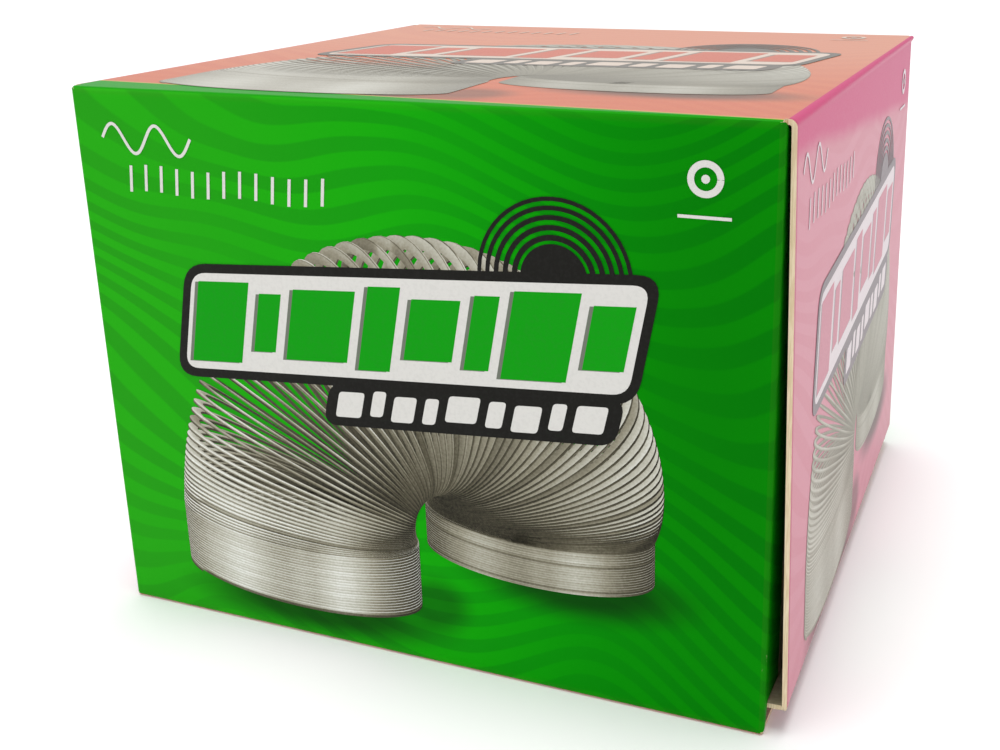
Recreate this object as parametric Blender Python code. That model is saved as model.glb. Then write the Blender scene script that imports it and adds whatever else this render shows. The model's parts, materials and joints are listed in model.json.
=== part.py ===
"""Spring coil toy in its printed tuck-end carton.

A closed-wound coil of flat steel wire, with a crimped clip on each wire end, stands upright in a
paperboard carton. The carton is a sleeve of four panels closed by a seam flap. Each end has a
closure panel hinged on the top panel, a tuck flap at its lower edge and two dust flaps behind it.

Frame: metres, +Z up, +X right, the front panel faces -Y. The origin is the middle of the base.
The carton is made to fit the toy, so its sizes follow from the coil's and from named clearances.
"""

import math

import bmesh
import bpy
from mathutils import Matrix, Vector

# ---- Coil toy ------------------------------------------------------------------------------
COIL_DIAMETER = 0.0690  # outside diameter
WIRE_WIDTH = 0.0026  # flat wire, across the coil's wall
WIRE_THICKNESS = 0.0006  # flat wire, along the coil's axis
TURN_GAP = 0.00015  # between neighbouring turns when closed
END_TURNS = 30  # turns in the lower stack, and in the upper one
MIDDLE_TURNS = 8  # turns between them, which open as the coil stretches
SEGMENTS_PER_TURN = 16
CLIP_WALL = 0.0004  # sheet thickness of an end clip
CLIP_PLAY = 0.00015  # between a clip and the wire in it
CLIP_LENGTH = 0.0050  # along the wire
CLIP_TURNS = 2  # turns that a clip holds

# ---- Carton --------------------------------------------------------------------------------
BOARD = 0.0005  # paperboard thickness
CREASE_GAP = 0.0003  # between panels that meet at a crease
SIDE_CLEARANCE = 0.0029  # coil to front and back panels
END_CLEARANCE = 0.0029  # coil to dust flaps
HEAD_CLEARANCE = 0.0034  # upper clip to top panel
REST_CLEARANCE = 0.0004  # lower clip to tuck flaps
FLAP_GAP = 0.0003  # dust flaps to closure panel
TUCK_LENGTH = 0.0125
TUCK_SIDE_GAP = 0.0008  # tuck flap to front panel, and to seam flap
TUCK_CORNER = 0.0060  # radius of the tuck flap's free corners
TUCK_RELAX = 0.15  # how far the tuck flap unfolds for each turn of its closure panel
TUCK_MARGIN = 0.00015  # left under the tuck flap at its lowest
DUST_LENGTH = 0.0300
DUST_SLOPE_DEG = 30.0  # taper of a dust flap's upper edge
DUST_SHOULDER = 0.0018  # radius of the die-cut shoulder at the upper crease
DUST_RELIEF = 0.0028  # radius of the die-cut relief at the lower crease
DUST_CORNER = 0.0040  # radius of a dust flap's free lower corner
DUST_LIFT = 0.0018  # dust flap's lower edge to tuck flap
CLOSURE_INSET = 0.0008  # closure panel's side edges to the front and back faces
RIGHT_SPRING_DEG = 2.0  # how far the right end stands open at its lower edge when closed
LEFT_SPRING_DEG = 0.0  # and the left one
SEAM_WIDTH = 0.0120
SEAM_TAPER = 0.0030  # cut back at each end of the seam flap
SEAM_END_GAP = 0.0012  # seam flap to dust flaps
ARC_STEPS = 6  # straight steps in a quarter round

# ---- Worked out from the sizes above ---------------------------------------------------------
PITCH = WIRE_THICKNESS + TURN_GAP
TURNS = 2 * END_TURNS + MIDDLE_TURNS
STACK_HEIGHT = TURNS * PITCH + WIRE_THICKNESS
CLIP_DROP = CLIP_WALL + CLIP_PLAY
COIL_ROOM = STACK_HEIGHT + 2 * CLIP_DROP + HEAD_CLEARANCE
# A tuck flap swings on its closure panel, and its free edge dips by up to this much.
TUCK_DIP = ((1 + TUCK_RELAX) * TUCK_LENGTH) ** 2 / (2 * COIL_ROOM)
TUCK_BASE = BOARD + TUCK_DIP + TUCK_MARGIN
CLIP_BASE = TUCK_BASE + BOARD + REST_CLEARANCE
COIL_BASE = CLIP_BASE + CLIP_DROP
HEIGHT = CLIP_BASE + COIL_ROOM + BOARD
HALF_DEPTH = COIL_DIAMETER / 2 + SIDE_CLEARANCE + BOARD
HALF_SLEEVE = COIL_DIAMETER / 2 + END_CLEARANCE + BOARD
HALF_WIDTH = HALF_SLEEVE + FLAP_GAP + BOARD
WIRE_RADIUS = (COIL_DIAMETER - WIRE_WIDTH) / 2
DUST_BASE = TUCK_BASE + BOARD + DUST_LIFT

# ---- Colours (linear RGB), roughness, metallic ------------------------------------------------
FINISHES = {
    "green_print": ((0.012, 0.33, 0.010), 0.38, 0.0),
    "orange_print": ((0.84, 0.20, 0.06), 0.38, 0.0),
    "pink_print": ((0.74, 0.13, 0.38), 0.38, 0.0),
    "plain_board": ((0.60, 0.52, 0.40), 0.75, 0.0),
    "spring_steel": ((0.62, 0.60, 0.57), 0.28, 1.0),
    "clip_steel": ((0.50, 0.50, 0.50), 0.35, 1.0),
}


def finish(name):
    """The material of that finish, made once."""
    material = bpy.data.materials.get(name)
    if material is None:
        colour, roughness, metallic = FINISHES[name]
        material = bpy.data.materials.new(name)
        material.use_nodes = True
        shader = material.node_tree.nodes["Principled BSDF"]
        shader.inputs["Base Color"].default_value = (*colour, 1.0)
        shader.inputs["Roughness"].default_value = roughness
        shader.inputs["Metallic"].default_value = metallic
    return material


def add_object(name, bm, finish_name, parent=None, smooth=False):
    """Turns a closed bmesh into a named object with its faces pointing out."""
    bmesh.ops.recalc_face_normals(bm, faces=bm.faces)
    mesh = bpy.data.meshes.new(name)
    bm.to_mesh(mesh)
    bm.free()
    mesh.materials.append(finish(finish_name))
    if smooth:
        mesh.shade_smooth()
        mesh.set_sharp_from_angle(angle=math.radians(35))
    piece = bpy.data.objects.new(name, mesh)
    bpy.context.scene.collection.objects.link(piece)
    piece.parent = parent
    return piece


def hinge(name, place, parent=None, turn=0.0, axis="Y"):
    """An empty on a crease, which the panel that folds there hangs from."""
    pivot = bpy.data.objects.new(name, None)
    bpy.context.scene.collection.objects.link(pivot)
    pivot.parent = parent
    pivot.matrix_local = Matrix.Translation(place) @ Matrix.Rotation(turn, 4, axis)
    return pivot


def arc(centre, radius, start_deg, end_deg, steps=ARC_STEPS):
    """Points on an arc, both ends included."""
    angles = [start_deg + (end_deg - start_deg) * i / steps for i in range(steps + 1)]
    return [
        (
            centre[0] + radius * math.cos(math.radians(a)),
            centre[1] + radius * math.sin(math.radians(a)),
        )
        for a in angles
    ]


def board_piece(outer, inner, to_space):
    """A flat board from its outer face's outline and its inner face's, one board apart.

    The two outlines have the same number of points. A mitred edge has its inner points set back
    by one board. to_space turns (u, v, depth) into a point, with depth 0 on the outer face.
    """
    bm = bmesh.new()
    loops = [
        [bm.verts.new(to_space(u, v, depth)) for u, v in outline]
        for outline, depth in ((outer, 0.0), (inner, BOARD))
    ]
    count = len(outer)
    for i in range(count):
        j = (i + 1) % count
        bm.faces.new((loops[0][i], loops[0][j], loops[1][j], loops[1][i]))
    bm.faces.new(loops[0])
    bm.faces.new(list(reversed(loops[1])))
    return bm


def rectangle(u_low, u_high, v_low, v_high):
    """The corners of a rectangle, anticlockwise."""
    return [(u_low, v_low), (u_high, v_low), (u_high, v_high), (u_low, v_high)]


def sleeve_panel(name, finish_name, half_length, half_width, to_space):
    """One of the sleeve's four panels, mitred along both creases and at both ends."""
    half_gap = CREASE_GAP / 2
    outer = rectangle(
        -half_length + half_gap, half_length - half_gap, -half_width + half_gap, half_width - half_gap
    )
    back = BOARD + half_gap
    inner = rectangle(
        -half_length + back, half_length - back, -half_width + back, half_width - back
    )
    add_object(name, board_piece(outer, inner, to_space), finish_name)


def build_sleeve():
    """The four panels of the sleeve and its seam flap."""
    middle = HEIGHT / 2
    sleeve_panel(
        "front_panel", "green_print", HALF_SLEEVE, middle,
        lambda u, v, depth: (u, -HALF_DEPTH + depth, middle + v),
    )
    sleeve_panel(
        "back_panel", "green_print", HALF_SLEEVE, middle,
        lambda u, v, depth: (u, HALF_DEPTH - depth, middle + v),
    )
    sleeve_panel(
        "top_panel", "orange_print", HALF_WIDTH, HALF_DEPTH,
        lambda u, v, depth: (u, v, HEIGHT - depth),
    )
    sleeve_panel(
        "bottom_panel", "orange_print", HALF_SLEEVE, HALF_DEPTH,
        lambda u, v, depth: (u, v, depth),
    )
    low = BOARD + CREASE_GAP
    reach = HALF_SLEEVE - BOARD - SEAM_END_GAP
    face = HALF_DEPTH - BOARD - CREASE_GAP
    outline = [
        (-reach, low),
        (reach, low),
        (reach - SEAM_TAPER, low + SEAM_WIDTH),
        (-reach + SEAM_TAPER, low + SEAM_WIDTH),
    ]
    seam = board_piece(outline, outline, lambda u, v, depth: (u, face - depth, v))
    add_object("seam_flap", seam, "plain_board")


def closure_outlines(drop):
    """Outer and inner outlines of a closure panel, hinged at v = 0 and hanging to v = -drop."""
    half = HALF_DEPTH - CLOSURE_INSET
    edge = CREASE_GAP / 2
    outer = rectangle(-half, half, -drop + edge, -edge)
    inner = rectangle(-half, half, -drop + edge + BOARD, -edge - BOARD)
    return outer, inner


def tuck_outlines():
    """Outer and inner outlines of a tuck flap, hinged at v = 0 and reaching to v = TUCK_LENGTH."""
    low = -HALF_DEPTH + BOARD + TUCK_SIDE_GAP
    high = HALF_DEPTH - 2 * BOARD - CREASE_GAP - TUCK_SIDE_GAP
    edge = CREASE_GAP / 2
    free = arc((high - TUCK_CORNER, TUCK_LENGTH - TUCK_CORNER), TUCK_CORNER, 0, 90)
    free += arc((low + TUCK_CORNER, TUCK_LENGTH - TUCK_CORNER), TUCK_CORNER, 90, 180)
    outer = [(low, edge), (high, edge), *free]
    inner = [(low, edge + BOARD), (high, edge + BOARD), *free]
    return outer, inner


def dust_outlines():
    """Outer and inner outlines of a dust flap, hinged at u = 0 and reaching to u = DUST_LENGTH.

    v is the height above the base. The lower edge clears the tuck flap with a round relief beside
    the crease, and the upper edge drops over a round shoulder, then tapers.
    """
    edge = CREASE_GAP / 2
    slope = math.tan(math.radians(DUST_SLOPE_DEG))
    shoulder_top = HEIGHT - BOARD - CREASE_GAP - DUST_SHOULDER
    free_top = shoulder_top - slope * (DUST_LENGTH - DUST_SHOULDER)
    relief_low = DUST_BASE - DUST_RELIEF
    relief = arc((edge + DUST_RELIEF, relief_low), DUST_RELIEF, 180, 90)
    corner = arc((DUST_LENGTH - DUST_CORNER, DUST_BASE + DUST_CORNER), DUST_CORNER, -90, 0)
    shoulder_radius = DUST_SHOULDER - edge
    shoulder_centre = (DUST_SHOULDER, shoulder_top + shoulder_radius)
    shoulder = arc(shoulder_centre, shoulder_radius, 270, 180)
    outer = [*relief, *corner, (DUST_LENGTH, free_top), *shoulder]
    inner = [(max(u, edge + BOARD), v) for u, v in outer]
    return without_repeats(outer, inner)


def without_repeats(outer, inner):
    """Both outlines without the points where a mitre has put two inner points in one place."""
    kept = [(o, i) for n, (o, i) in enumerate(zip(outer, inner)) if i != inner[n - 1]]
    return [o for o, _ in kept], [i for _, i in kept]


def build_end(side, label, spring_deg):
    """The closure panel, tuck flap and two dust flaps of one end; side is 1 for +X, -1 for -X."""
    closure_pivot = hinge(
        f"{label}_closure_crease",
        Vector((side * HALF_WIDTH, 0.0, HEIGHT)),
        turn=-side * math.radians(spring_deg),
    )
    drop = HEIGHT - TUCK_BASE
    outer, inner = closure_outlines(drop)
    panel = board_piece(outer, inner, lambda u, v, depth: (-side * depth, u, v))
    add_object(f"{label}_closure_panel", panel, "pink_print", closure_pivot)

    tuck_pivot = hinge(f"{label}_tuck_crease", Vector((0.0, 0.0, -drop)), closure_pivot)
    outer, inner = tuck_outlines()
    flap = board_piece(outer, inner, lambda u, v, depth: (-side * v, u, depth))
    add_object(f"{label}_tuck_flap", flap, "pink_print", tuck_pivot)

    for facing, place in ((-1, "front"), (1, "back")):
        dust_pivot = hinge(
            f"{label}_{place}_dust_crease",
            Vector((side * HALF_SLEEVE, facing * HALF_DEPTH, 0.0)),
            axis="Z",
        )
        outer, inner = dust_outlines()
        flap = board_piece(
            outer, inner, lambda u, v, depth, f=facing: (-side * depth, -f * u, v)
        )
        add_object(f"{label}_{place}_dust_flap", flap, "plain_board", dust_pivot)


def coil_turns(name, first_turn, last_turn):
    """A stretch of the flat-wire helix, from one turn count to another, as one closed solid."""
    bm = bmesh.new()
    steps = round((last_turn - first_turn) * SEGMENTS_PER_TURN)
    rings = []
    for i in range(steps + 1):
        turn = first_turn + i / SEGMENTS_PER_TURN
        angle = 2 * math.pi * turn
        z = COIL_BASE + PITCH * turn
        rings.append(
            [
                bm.verts.new((radius * math.cos(angle), radius * math.sin(angle), z + lift))
                for radius, lift in (
                    (COIL_DIAMETER / 2 - WIRE_WIDTH, 0.0),
                    (COIL_DIAMETER / 2, 0.0),
                    (COIL_DIAMETER / 2, WIRE_THICKNESS),
                    (COIL_DIAMETER / 2 - WIRE_WIDTH, WIRE_THICKNESS),
                )
            ]
        )
    for ring, following in zip(rings, rings[1:]):
        for k in range(4):
            m = (k + 1) % 4
            bm.faces.new((ring[k], ring[m], following[m], following[k]))
    bm.faces.new(rings[0])
    bm.faces.new(list(reversed(rings[-1])))
    return add_object(name, bm, "spring_steel", smooth=True)


def end_clip(name, turn, up):
    """A U of sheet steel crimped over the wire's end turns; up is 1 for the lower clip."""
    half_inside = WIRE_WIDTH / 2 + CLIP_PLAY
    half_outside = half_inside + CLIP_WALL
    reach = (CLIP_TURNS - 1) * PITCH + WIRE_THICKNESS
    profile = [
        (-half_outside, -CLIP_DROP),
        (half_outside, -CLIP_DROP),
        (half_outside, reach),
        (half_inside, reach),
        (half_inside, -CLIP_PLAY),
        (-half_inside, -CLIP_PLAY),
        (-half_inside, reach),
        (-half_outside, reach),
    ]
    bm = bmesh.new()
    start = [bm.verts.new((r, -CLIP_LENGTH / 2, up * z)) for r, z in profile]
    face = bm.faces.new(start)
    made = bmesh.ops.extrude_face_region(bm, geom=[face])
    moved = [v for v in made["geom"] if isinstance(v, bmesh.types.BMVert)]
    bmesh.ops.translate(bm, verts=moved, vec=(0.0, CLIP_LENGTH, 0.0))
    clip = add_object(name, bm, "clip_steel")
    angle = 2 * math.pi * turn
    # The wire's facets cut inside the true circle, so the clip follows the facet's middle.
    radius = WIRE_RADIUS * math.cos(math.pi / SEGMENTS_PER_TURN)
    height = COIL_BASE if up > 0 else COIL_BASE + TURNS * PITCH + WIRE_THICKNESS
    clip.location = (radius * math.cos(angle), radius * math.sin(angle), height)
    clip.rotation_euler = (0.0, 0.0, angle)
    return clip


def build_coil():
    """The wire in three stretches, and the clip on each of its ends."""
    first_split = END_TURNS
    second_split = END_TURNS + MIDDLE_TURNS
    part_gap = 1.0 / SEGMENTS_PER_TURN  # the stretches stop short of each other along the wire
    coil_turns("coil_lower_turns", 0.0, first_split)
    coil_turns("coil_middle_turns", first_split + part_gap, second_split - part_gap)
    coil_turns("coil_upper_turns", second_split, TURNS)
    half_facet = 0.5 / SEGMENTS_PER_TURN
    end_clip("lower_end_clip", half_facet, 1)
    end_clip("upper_end_clip", -half_facet, -1)


def main():
    """Clears the scene and builds the carton round the coil."""
    for old in list(bpy.data.objects):
        bpy.data.objects.remove(old)
    build_sleeve()
    build_end(1, "right", RIGHT_SPRING_DEG)
    build_end(-1, "left", LEFT_SPRING_DEG)
    build_coil()


main()
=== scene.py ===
"""Looks of the spring coil toy in its printed tuck-end carton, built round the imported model.

Frame: metres, +Z up, +X to the carton's right end, the front panel faces -Y. The origin is the
middle of the carton's base. Every board is one thin shell that runs round its folds, so the creases
are round and the cut edges show the board's thickness. The print is thin layers of ink on the faces.
"""

from __future__ import annotations

import json
import logging
import math
from collections.abc import Callable, Sequence
from dataclasses import dataclass, field
from enum import Enum
from typing import Any

import bpy
import numpy as np
from mathutils import Matrix, Vector

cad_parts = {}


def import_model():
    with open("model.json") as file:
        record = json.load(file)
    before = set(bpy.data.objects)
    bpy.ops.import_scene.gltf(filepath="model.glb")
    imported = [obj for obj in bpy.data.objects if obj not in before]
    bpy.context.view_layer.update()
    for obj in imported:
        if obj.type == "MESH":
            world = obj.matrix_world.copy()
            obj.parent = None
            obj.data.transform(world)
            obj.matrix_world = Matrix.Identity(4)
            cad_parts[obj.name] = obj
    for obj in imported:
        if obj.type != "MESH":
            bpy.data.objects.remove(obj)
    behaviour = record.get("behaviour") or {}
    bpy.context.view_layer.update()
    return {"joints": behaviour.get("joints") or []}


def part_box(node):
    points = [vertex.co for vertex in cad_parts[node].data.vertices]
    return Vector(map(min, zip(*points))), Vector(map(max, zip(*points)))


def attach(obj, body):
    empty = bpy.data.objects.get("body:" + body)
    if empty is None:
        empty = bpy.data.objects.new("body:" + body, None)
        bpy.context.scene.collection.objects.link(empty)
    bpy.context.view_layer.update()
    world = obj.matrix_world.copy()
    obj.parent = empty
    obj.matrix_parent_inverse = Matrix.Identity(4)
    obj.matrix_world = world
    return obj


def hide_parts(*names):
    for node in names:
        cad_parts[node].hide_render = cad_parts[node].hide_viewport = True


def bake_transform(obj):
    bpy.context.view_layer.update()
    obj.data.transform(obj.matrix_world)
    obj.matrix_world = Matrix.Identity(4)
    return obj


log = logging.getLogger("carton")

MM = 0.001
PRINT_PLACE = "print_place"  # attribute: flat place on the board in mm, and closeness to a fold
TONE = "tone"  # attribute: how light the printed picture is
FACE_WIDTH_MM = 75.8  # a printed face between its upright folds
FACE_HEIGHT_MM = 60.0
BOARD_IOR = 1.5  # varnish, ink and board alike
TOP_SCALE = 1.15  # the art is larger on the top and the bottom
TOP_SHIFT_MM = (-3.4, -1.2)
MARKS_UP_MM = 15.5  # the small marks keep to the far edge of the deeper top and bottom

Rgba = tuple[float, float, float, float]
Place = Callable[[float, float, float], tuple[float, float, float]]


# ---- Small tools -----------------------------------------------------------------------------
def linear(hex_colour: str) -> Rgba:
    """Turns an sRGB hex colour into linear light.

    Args:
        hex_colour: Six hex digits with a leading hash.

    Returns:
        Red, green, blue and an alpha of 1.
    """
    parts = [int(hex_colour[i : i + 2], 16) / 255 for i in (1, 3, 5)]
    red, green, blue = (
        c / 12.92 if c <= 0.04045 else ((c + 0.055) / 1.055) ** 2.4 for c in parts
    )
    return (red, green, blue, 1.0)


def add_node(
    tree: bpy.types.NodeTree,
    kind: str,
    settings: dict[str, Any] | None = None,
    inputs: dict[Any, Any] | None = None,
) -> bpy.types.Node:
    """Adds a node with its settings, and sets or links its inputs.

    Args:
        tree: The tree that takes the node.
        kind: The node's type name.
        settings: Properties of the node.
        inputs: Values or output sockets, by the input's name or number.

    Returns:
        The new node.
    """
    node = tree.nodes.new(kind)
    for name, value in (settings or {}).items():
        setattr(node, name, value)
    for name, value in (inputs or {}).items():
        if isinstance(value, bpy.types.NodeSocket):
            tree.links.new(value, node.inputs[name])
        else:
            node.inputs[name].default_value = value
    return node


def calculate(tree: bpy.types.NodeTree, operation: str, *values: Any) -> bpy.types.NodeSocket:
    """Adds one sum to a tree.

    Args:
        tree: The tree that takes the node.
        operation: The Math node's operation.
        values: Its inputs in order, numbers or sockets.

    Returns:
        The result's socket.
    """
    inputs = dict(enumerate(values))
    return add_node(tree, "ShaderNodeMath", {"operation": operation}, inputs).outputs[0]


def mix_colours(tree: bpy.types.NodeTree, share: Any, first: Any, second: Any) -> bpy.types.NodeSocket:
    """Adds a colour mix.

    Args:
        tree: The tree that takes the node.
        share: How much of the second colour, from 0 to 1.
        first: The first colour or socket.
        second: The second colour or socket.

    Returns:
        The mixed colour's socket.
    """
    settings = {"data_type": "RGBA"}
    inputs = {"Factor": share, 6: first, 7: second}
    return add_node(tree, "ShaderNodeMix", settings, inputs).outputs[2]


def soft_step(tree: bpy.types.NodeTree, value: Any, low: float, high: float) -> bpy.types.NodeSocket:
    """Adds a smooth step from 0 at low to 1 at high.

    Args:
        tree: The tree that takes the node.
        value: The socket to read.
        low: Where the step starts.
        high: Where it ends.

    Returns:
        The step's socket.
    """
    settings = {"interpolation_type": "SMOOTHSTEP"}
    inputs = {"Value": value, "From Min": low, "From Max": high}
    return add_node(tree, "ShaderNodeMapRange", settings, inputs).outputs[0]


def wash(
    tree: bpy.types.NodeTree, colour: Any, strength: float, where: Any, over: Any
) -> bpy.types.NodeSocket:
    """Lays one colour over another, up to a strength.

    Args:
        tree: The tree that takes the nodes.
        colour: The colour below.
        strength: How much of the colour on top shows where it is fullest.
        where: The socket that says where it lies, from 0 to 1.
        over: The colour on top.

    Returns:
        The mixed colour's socket.
    """
    return mix_colours(tree, calculate(tree, "MULTIPLY", where, strength), colour, over)


def noise(
    tree: bpy.types.NodeTree, vector: Any, size_mm: float, detail: float = 2.0, output: str = "Fac"
) -> bpy.types.NodeSocket:
    """Adds noise of a real size on a vector in millimetres.

    Args:
        tree: The tree that takes the node.
        vector: The place in millimetres.
        size_mm: The width of one feature.
        detail: How many finer octaves it has.
        output: Fac or Color.

    Returns:
        The noise's socket.
    """
    inputs = {"Vector": vector, "Scale": 1.0 / size_mm, "Detail": detail}
    return add_node(tree, "ShaderNodeTexNoise", None, inputs).outputs[output]


# ---- Finishes --------------------------------------------------------------------------------
@dataclass(frozen=True)
class Finish:
    """One material. A subclass says what it is made of and lays out its nodes."""

    name: str

    def material(self) -> bpy.types.Material:
        """Makes the material once.

        Returns:
            The material of this finish.
        """
        found = bpy.data.materials.get(self.name)
        if found is not None:
            return found
        made = bpy.data.materials.new(self.name)
        made.use_nodes = True
        tree = made.node_tree
        self.lay_out(tree, tree.nodes["Principled BSDF"])
        return made

    def lay_out(self, tree: bpy.types.NodeTree, shader: bpy.types.Node) -> None:
        """Adds this finish's nodes; each subclass has its own."""
        raise NotImplementedError

    @staticmethod
    def object_mm(tree: bpy.types.NodeTree) -> bpy.types.NodeSocket:
        """The place on the object in millimetres."""
        place = add_node(tree, "ShaderNodeTexCoord").outputs["Object"]
        settings = {"operation": "SCALE"}
        return add_node(tree, "ShaderNodeVectorMath", settings, {0: place, "Scale": 1 / MM}).outputs[0]

    @staticmethod
    def roughen(
        tree: bpy.types.NodeTree,
        shader: bpy.types.Node,
        height: bpy.types.NodeSocket,
        depth: float,
        strength: float,
    ) -> None:
        """Gives the shader a bump of a real depth.

        Args:
            tree: The material's tree.
            shader: The shader that takes the bump.
            height: The height socket, from 0 to 1.
            depth: How deep 1 is, in metres.
            strength: How much of it shows.
        """
        inputs = {"Height": height, "Distance": depth, "Strength": strength}
        bump = add_node(tree, "ShaderNodeBump", None, inputs)
        tree.links.new(bump.outputs[0], shader.inputs["Normal"])


@dataclass(frozen=True)
class PrintedBoard(Finish):
    """Bleached carton board, offset printed in two tones of flowing waves, with a satin varnish.

    The varnish gives a soft glare at a low angle. The ink cracks at the folds and the pale board shows
    through. Some faces also have painted shade and painted glare in the ink's colour.

    Attributes:
        deep, light: The two tones of the waves.
        specular, roughness: The varnish's glare and how soft it is.
        wave_mm: The width of a light and a dark wave together.
        faded: Painted glare: how far a pale yellow wash covers the ink towards the face's left edge.
        dimmed: Painted shade: how much darker the ink is painted towards the face's right edge.
        pale_far: Painted glare: how far a pale cream wash covers the ink towards the face's upper or far
            edge.
        front_line: A deeper line of ink along the face's left edge.
        far_band: A deeper band under the top fold, wider to the right, where the paler ground's painted
            glare stops.
        edge_ink, edge_ink_mm: The next panel's ink, and how far over it runs at each end.
        picture_scale, picture_shift: How the face's art is enlarged and moved, for its shadows.
    """

    deep: str = "#05950a"
    light: str = "#0aa506"
    specular: float = 0.02
    roughness: float = 0.38
    wave_mm: float = 3.2
    faded: float = 0.0
    dimmed: float = 0.0
    pale_far: float = 0.0
    front_line: str | None = None
    far_band: str | None = None
    edge_ink: str | None = None
    edge_ink_mm: tuple[float, float] = (0.0, 0.0)
    picture_scale: float = 1.0
    picture_shift: tuple[float, float] = (0.0, 0.0)

    def lay_out(self, tree: bpy.types.NodeTree, shader: bpy.types.Node) -> None:
        """Lays out the print, its worn folds and the varnish."""
        flat = add_node(tree, "ShaderNodeAttribute", {"attribute_name": PRINT_PLACE}).outputs["Vector"]
        u, v, fold = add_node(tree, "ShaderNodeSeparateXYZ", None, {0: flat}).outputs
        place = add_node(tree, "ShaderNodeCombineXYZ", None, {0: u, 1: v}).outputs[0]
        colour = self.waves(tree, place)
        colour = self.ageing(tree, colour, u, v)
        colour = self.picture_shadows(tree, colour, u, v)
        colour = self.edge_bands(tree, colour, place, u, v)
        self.varnish(tree, shader)
        if self.edge_ink:
            colour, inked = self.over_print(tree, colour, u, v)
            matt = 0.04
            dull = calculate(tree, "MULTIPLY_ADD", inked, matt - self.specular, self.specular)
            tree.links.new(dull, shader.inputs["Specular IOR Level"])
        colour = self.worn_folds(tree, colour, place, fold)
        tree.links.new(colour, shader.inputs["Base Color"])

    def ageing(self, tree: bpy.types.NodeTree, colour: Any, u: Any, v: Any) -> bpy.types.NodeSocket:
        """Painted light across the face: painted shade that deepens the ink towards one edge, and painted
        glare that pales it towards another.
        """
        # Painted shade: the ink darkens towards the face's right edge, a little less near its top and
        # bottom.
        if self.dimmed:
            from_middle = calculate(tree, "MULTIPLY_ADD", v, 0.04, -1.4)
            squared = calculate(tree, "MULTIPLY", from_middle, from_middle)
            less = calculate(tree, "MULTIPLY_ADD", squared, -0.15, 1.0)
            share = calculate(tree, "MULTIPLY", soft_step(tree, u, 36.0, 72.0), less)
            colour = wash(tree, colour, self.dimmed, share, (0.0, 0.0, 0.0, 1.0))
        # Painted glare: a pale yellow wash that grows towards the face's left edge.
        if self.faded:
            share = soft_step(tree, u, 62.0, -4.0)
            colour = wash(tree, colour, self.faded, share, (0.9, 0.9, 0.3, 1.0))
        # Painted glare: a pale cream wash that grows towards the face's far edge.
        if self.pale_far:
            share = soft_step(tree, v, 2.0, 62.0)
            colour = wash(tree, colour, self.pale_far, share, (0.95, 0.85, 0.62, 1.0))
        return colour

    def edge_bands(
        self, tree: bpy.types.NodeTree, colour: Any, place: Any, u: Any, v: Any
    ) -> bpy.types.NodeSocket:
        """The deeper ink under the top fold, with a wavy lower border, where the paler ground's painted
        glare stops, and along the left edge.
        """
        if self.far_band:
            lift = calculate(tree, "MULTIPLY_ADD", u, 0.085, 1.8)
            depth = calculate(tree, "SUBTRACT", FACE_HEIGHT_MM, v)
            ripple = calculate(tree, "MULTIPLY", noise(tree, place, 9.0), 1.6)
            edge = calculate(tree, "SUBTRACT", calculate(tree, "ADD", lift, ripple), depth)
            band = soft_step(tree, edge, -1.3, 1.1)
            colour = wash(tree, colour, 0.95, band, linear(self.far_band))
        if self.front_line:
            line = soft_step(tree, u, 1.55, 1.15)
            colour = wash(tree, colour, 0.8, line, linear(self.front_line))
        return colour

    def waves(self, tree: bpy.types.NodeTree, place: bpy.types.NodeSocket) -> bpy.types.NodeSocket:
        """Two tones in bands that wander across the board."""
        drift = noise(tree, place, 34.0, 0.4, "Color")
        drift = add_node(
            tree,
            "ShaderNodeVectorMath",
            {"operation": "MULTIPLY_ADD"},
            {0: drift, 1: (50.0, 40.0, 0.0), 2: place},
        ).outputs[0]
        across, along, _ = add_node(tree, "ShaderNodeSeparateXYZ", None, {0: drift}).outputs
        bend = calculate(tree, "MULTIPLY_ADD", across, -0.0024, 0.46)
        upward = calculate(tree, "MULTIPLY", along, 0.9)
        field_mm = calculate(tree, "MULTIPLY_ADD", across, bend, upward)
        angle = calculate(tree, "MULTIPLY", field_mm, 2 * math.pi / self.wave_mm)
        wave = calculate(tree, "SINE", angle)
        band = soft_step(tree, wave, -0.22, 0.22)
        calm = soft_step(tree, noise(tree, place, 24.0, 0.0), 0.10, 0.60)
        band = calculate(tree, "MULTIPLY_ADD", calculate(tree, "SUBTRACT", band, 0.5), calm, 0.5)
        grain = calculate(tree, "MULTIPLY_ADD", noise(tree, place, 0.35, 3.0), 0.16, -0.08)
        share = calculate(tree, "ADD", band, grain)
        return mix_colours(tree, share, linear(self.deep), linear(self.light))

    def picture_shadows(
        self, tree: bpy.types.NodeTree, colour: Any, u: Any, v: Any
    ) -> bpy.types.NodeSocket:
        """The printed coil's soft shadows on its ground."""
        for centre, radii, depth in (
            ((25.5, 3.6), (19.0, 4.0), 0.80),
            ((40.5, 7.0), (5.0, 4.0), 0.55),
            ((56.5, 12.3), (14.5, 4.6), 0.80),
        ):
            squares = []
            for socket, middle, radius, shift in zip((u, v), centre, radii, self.picture_shift):
                from_middle = calculate(tree, "SUBTRACT", socket, middle * self.picture_scale + shift)
                share = calculate(tree, "DIVIDE", from_middle, radius * self.picture_scale)
                squares.append(calculate(tree, "MULTIPLY", share, share))
            distance = calculate(tree, "SQRT", calculate(tree, "ADD", *squares))
            shade = soft_step(tree, distance, 1.05, 0.35)
            colour = wash(tree, colour, depth, shade, (0.004, 0.018, 0.004, 1.0))
        return colour

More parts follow.
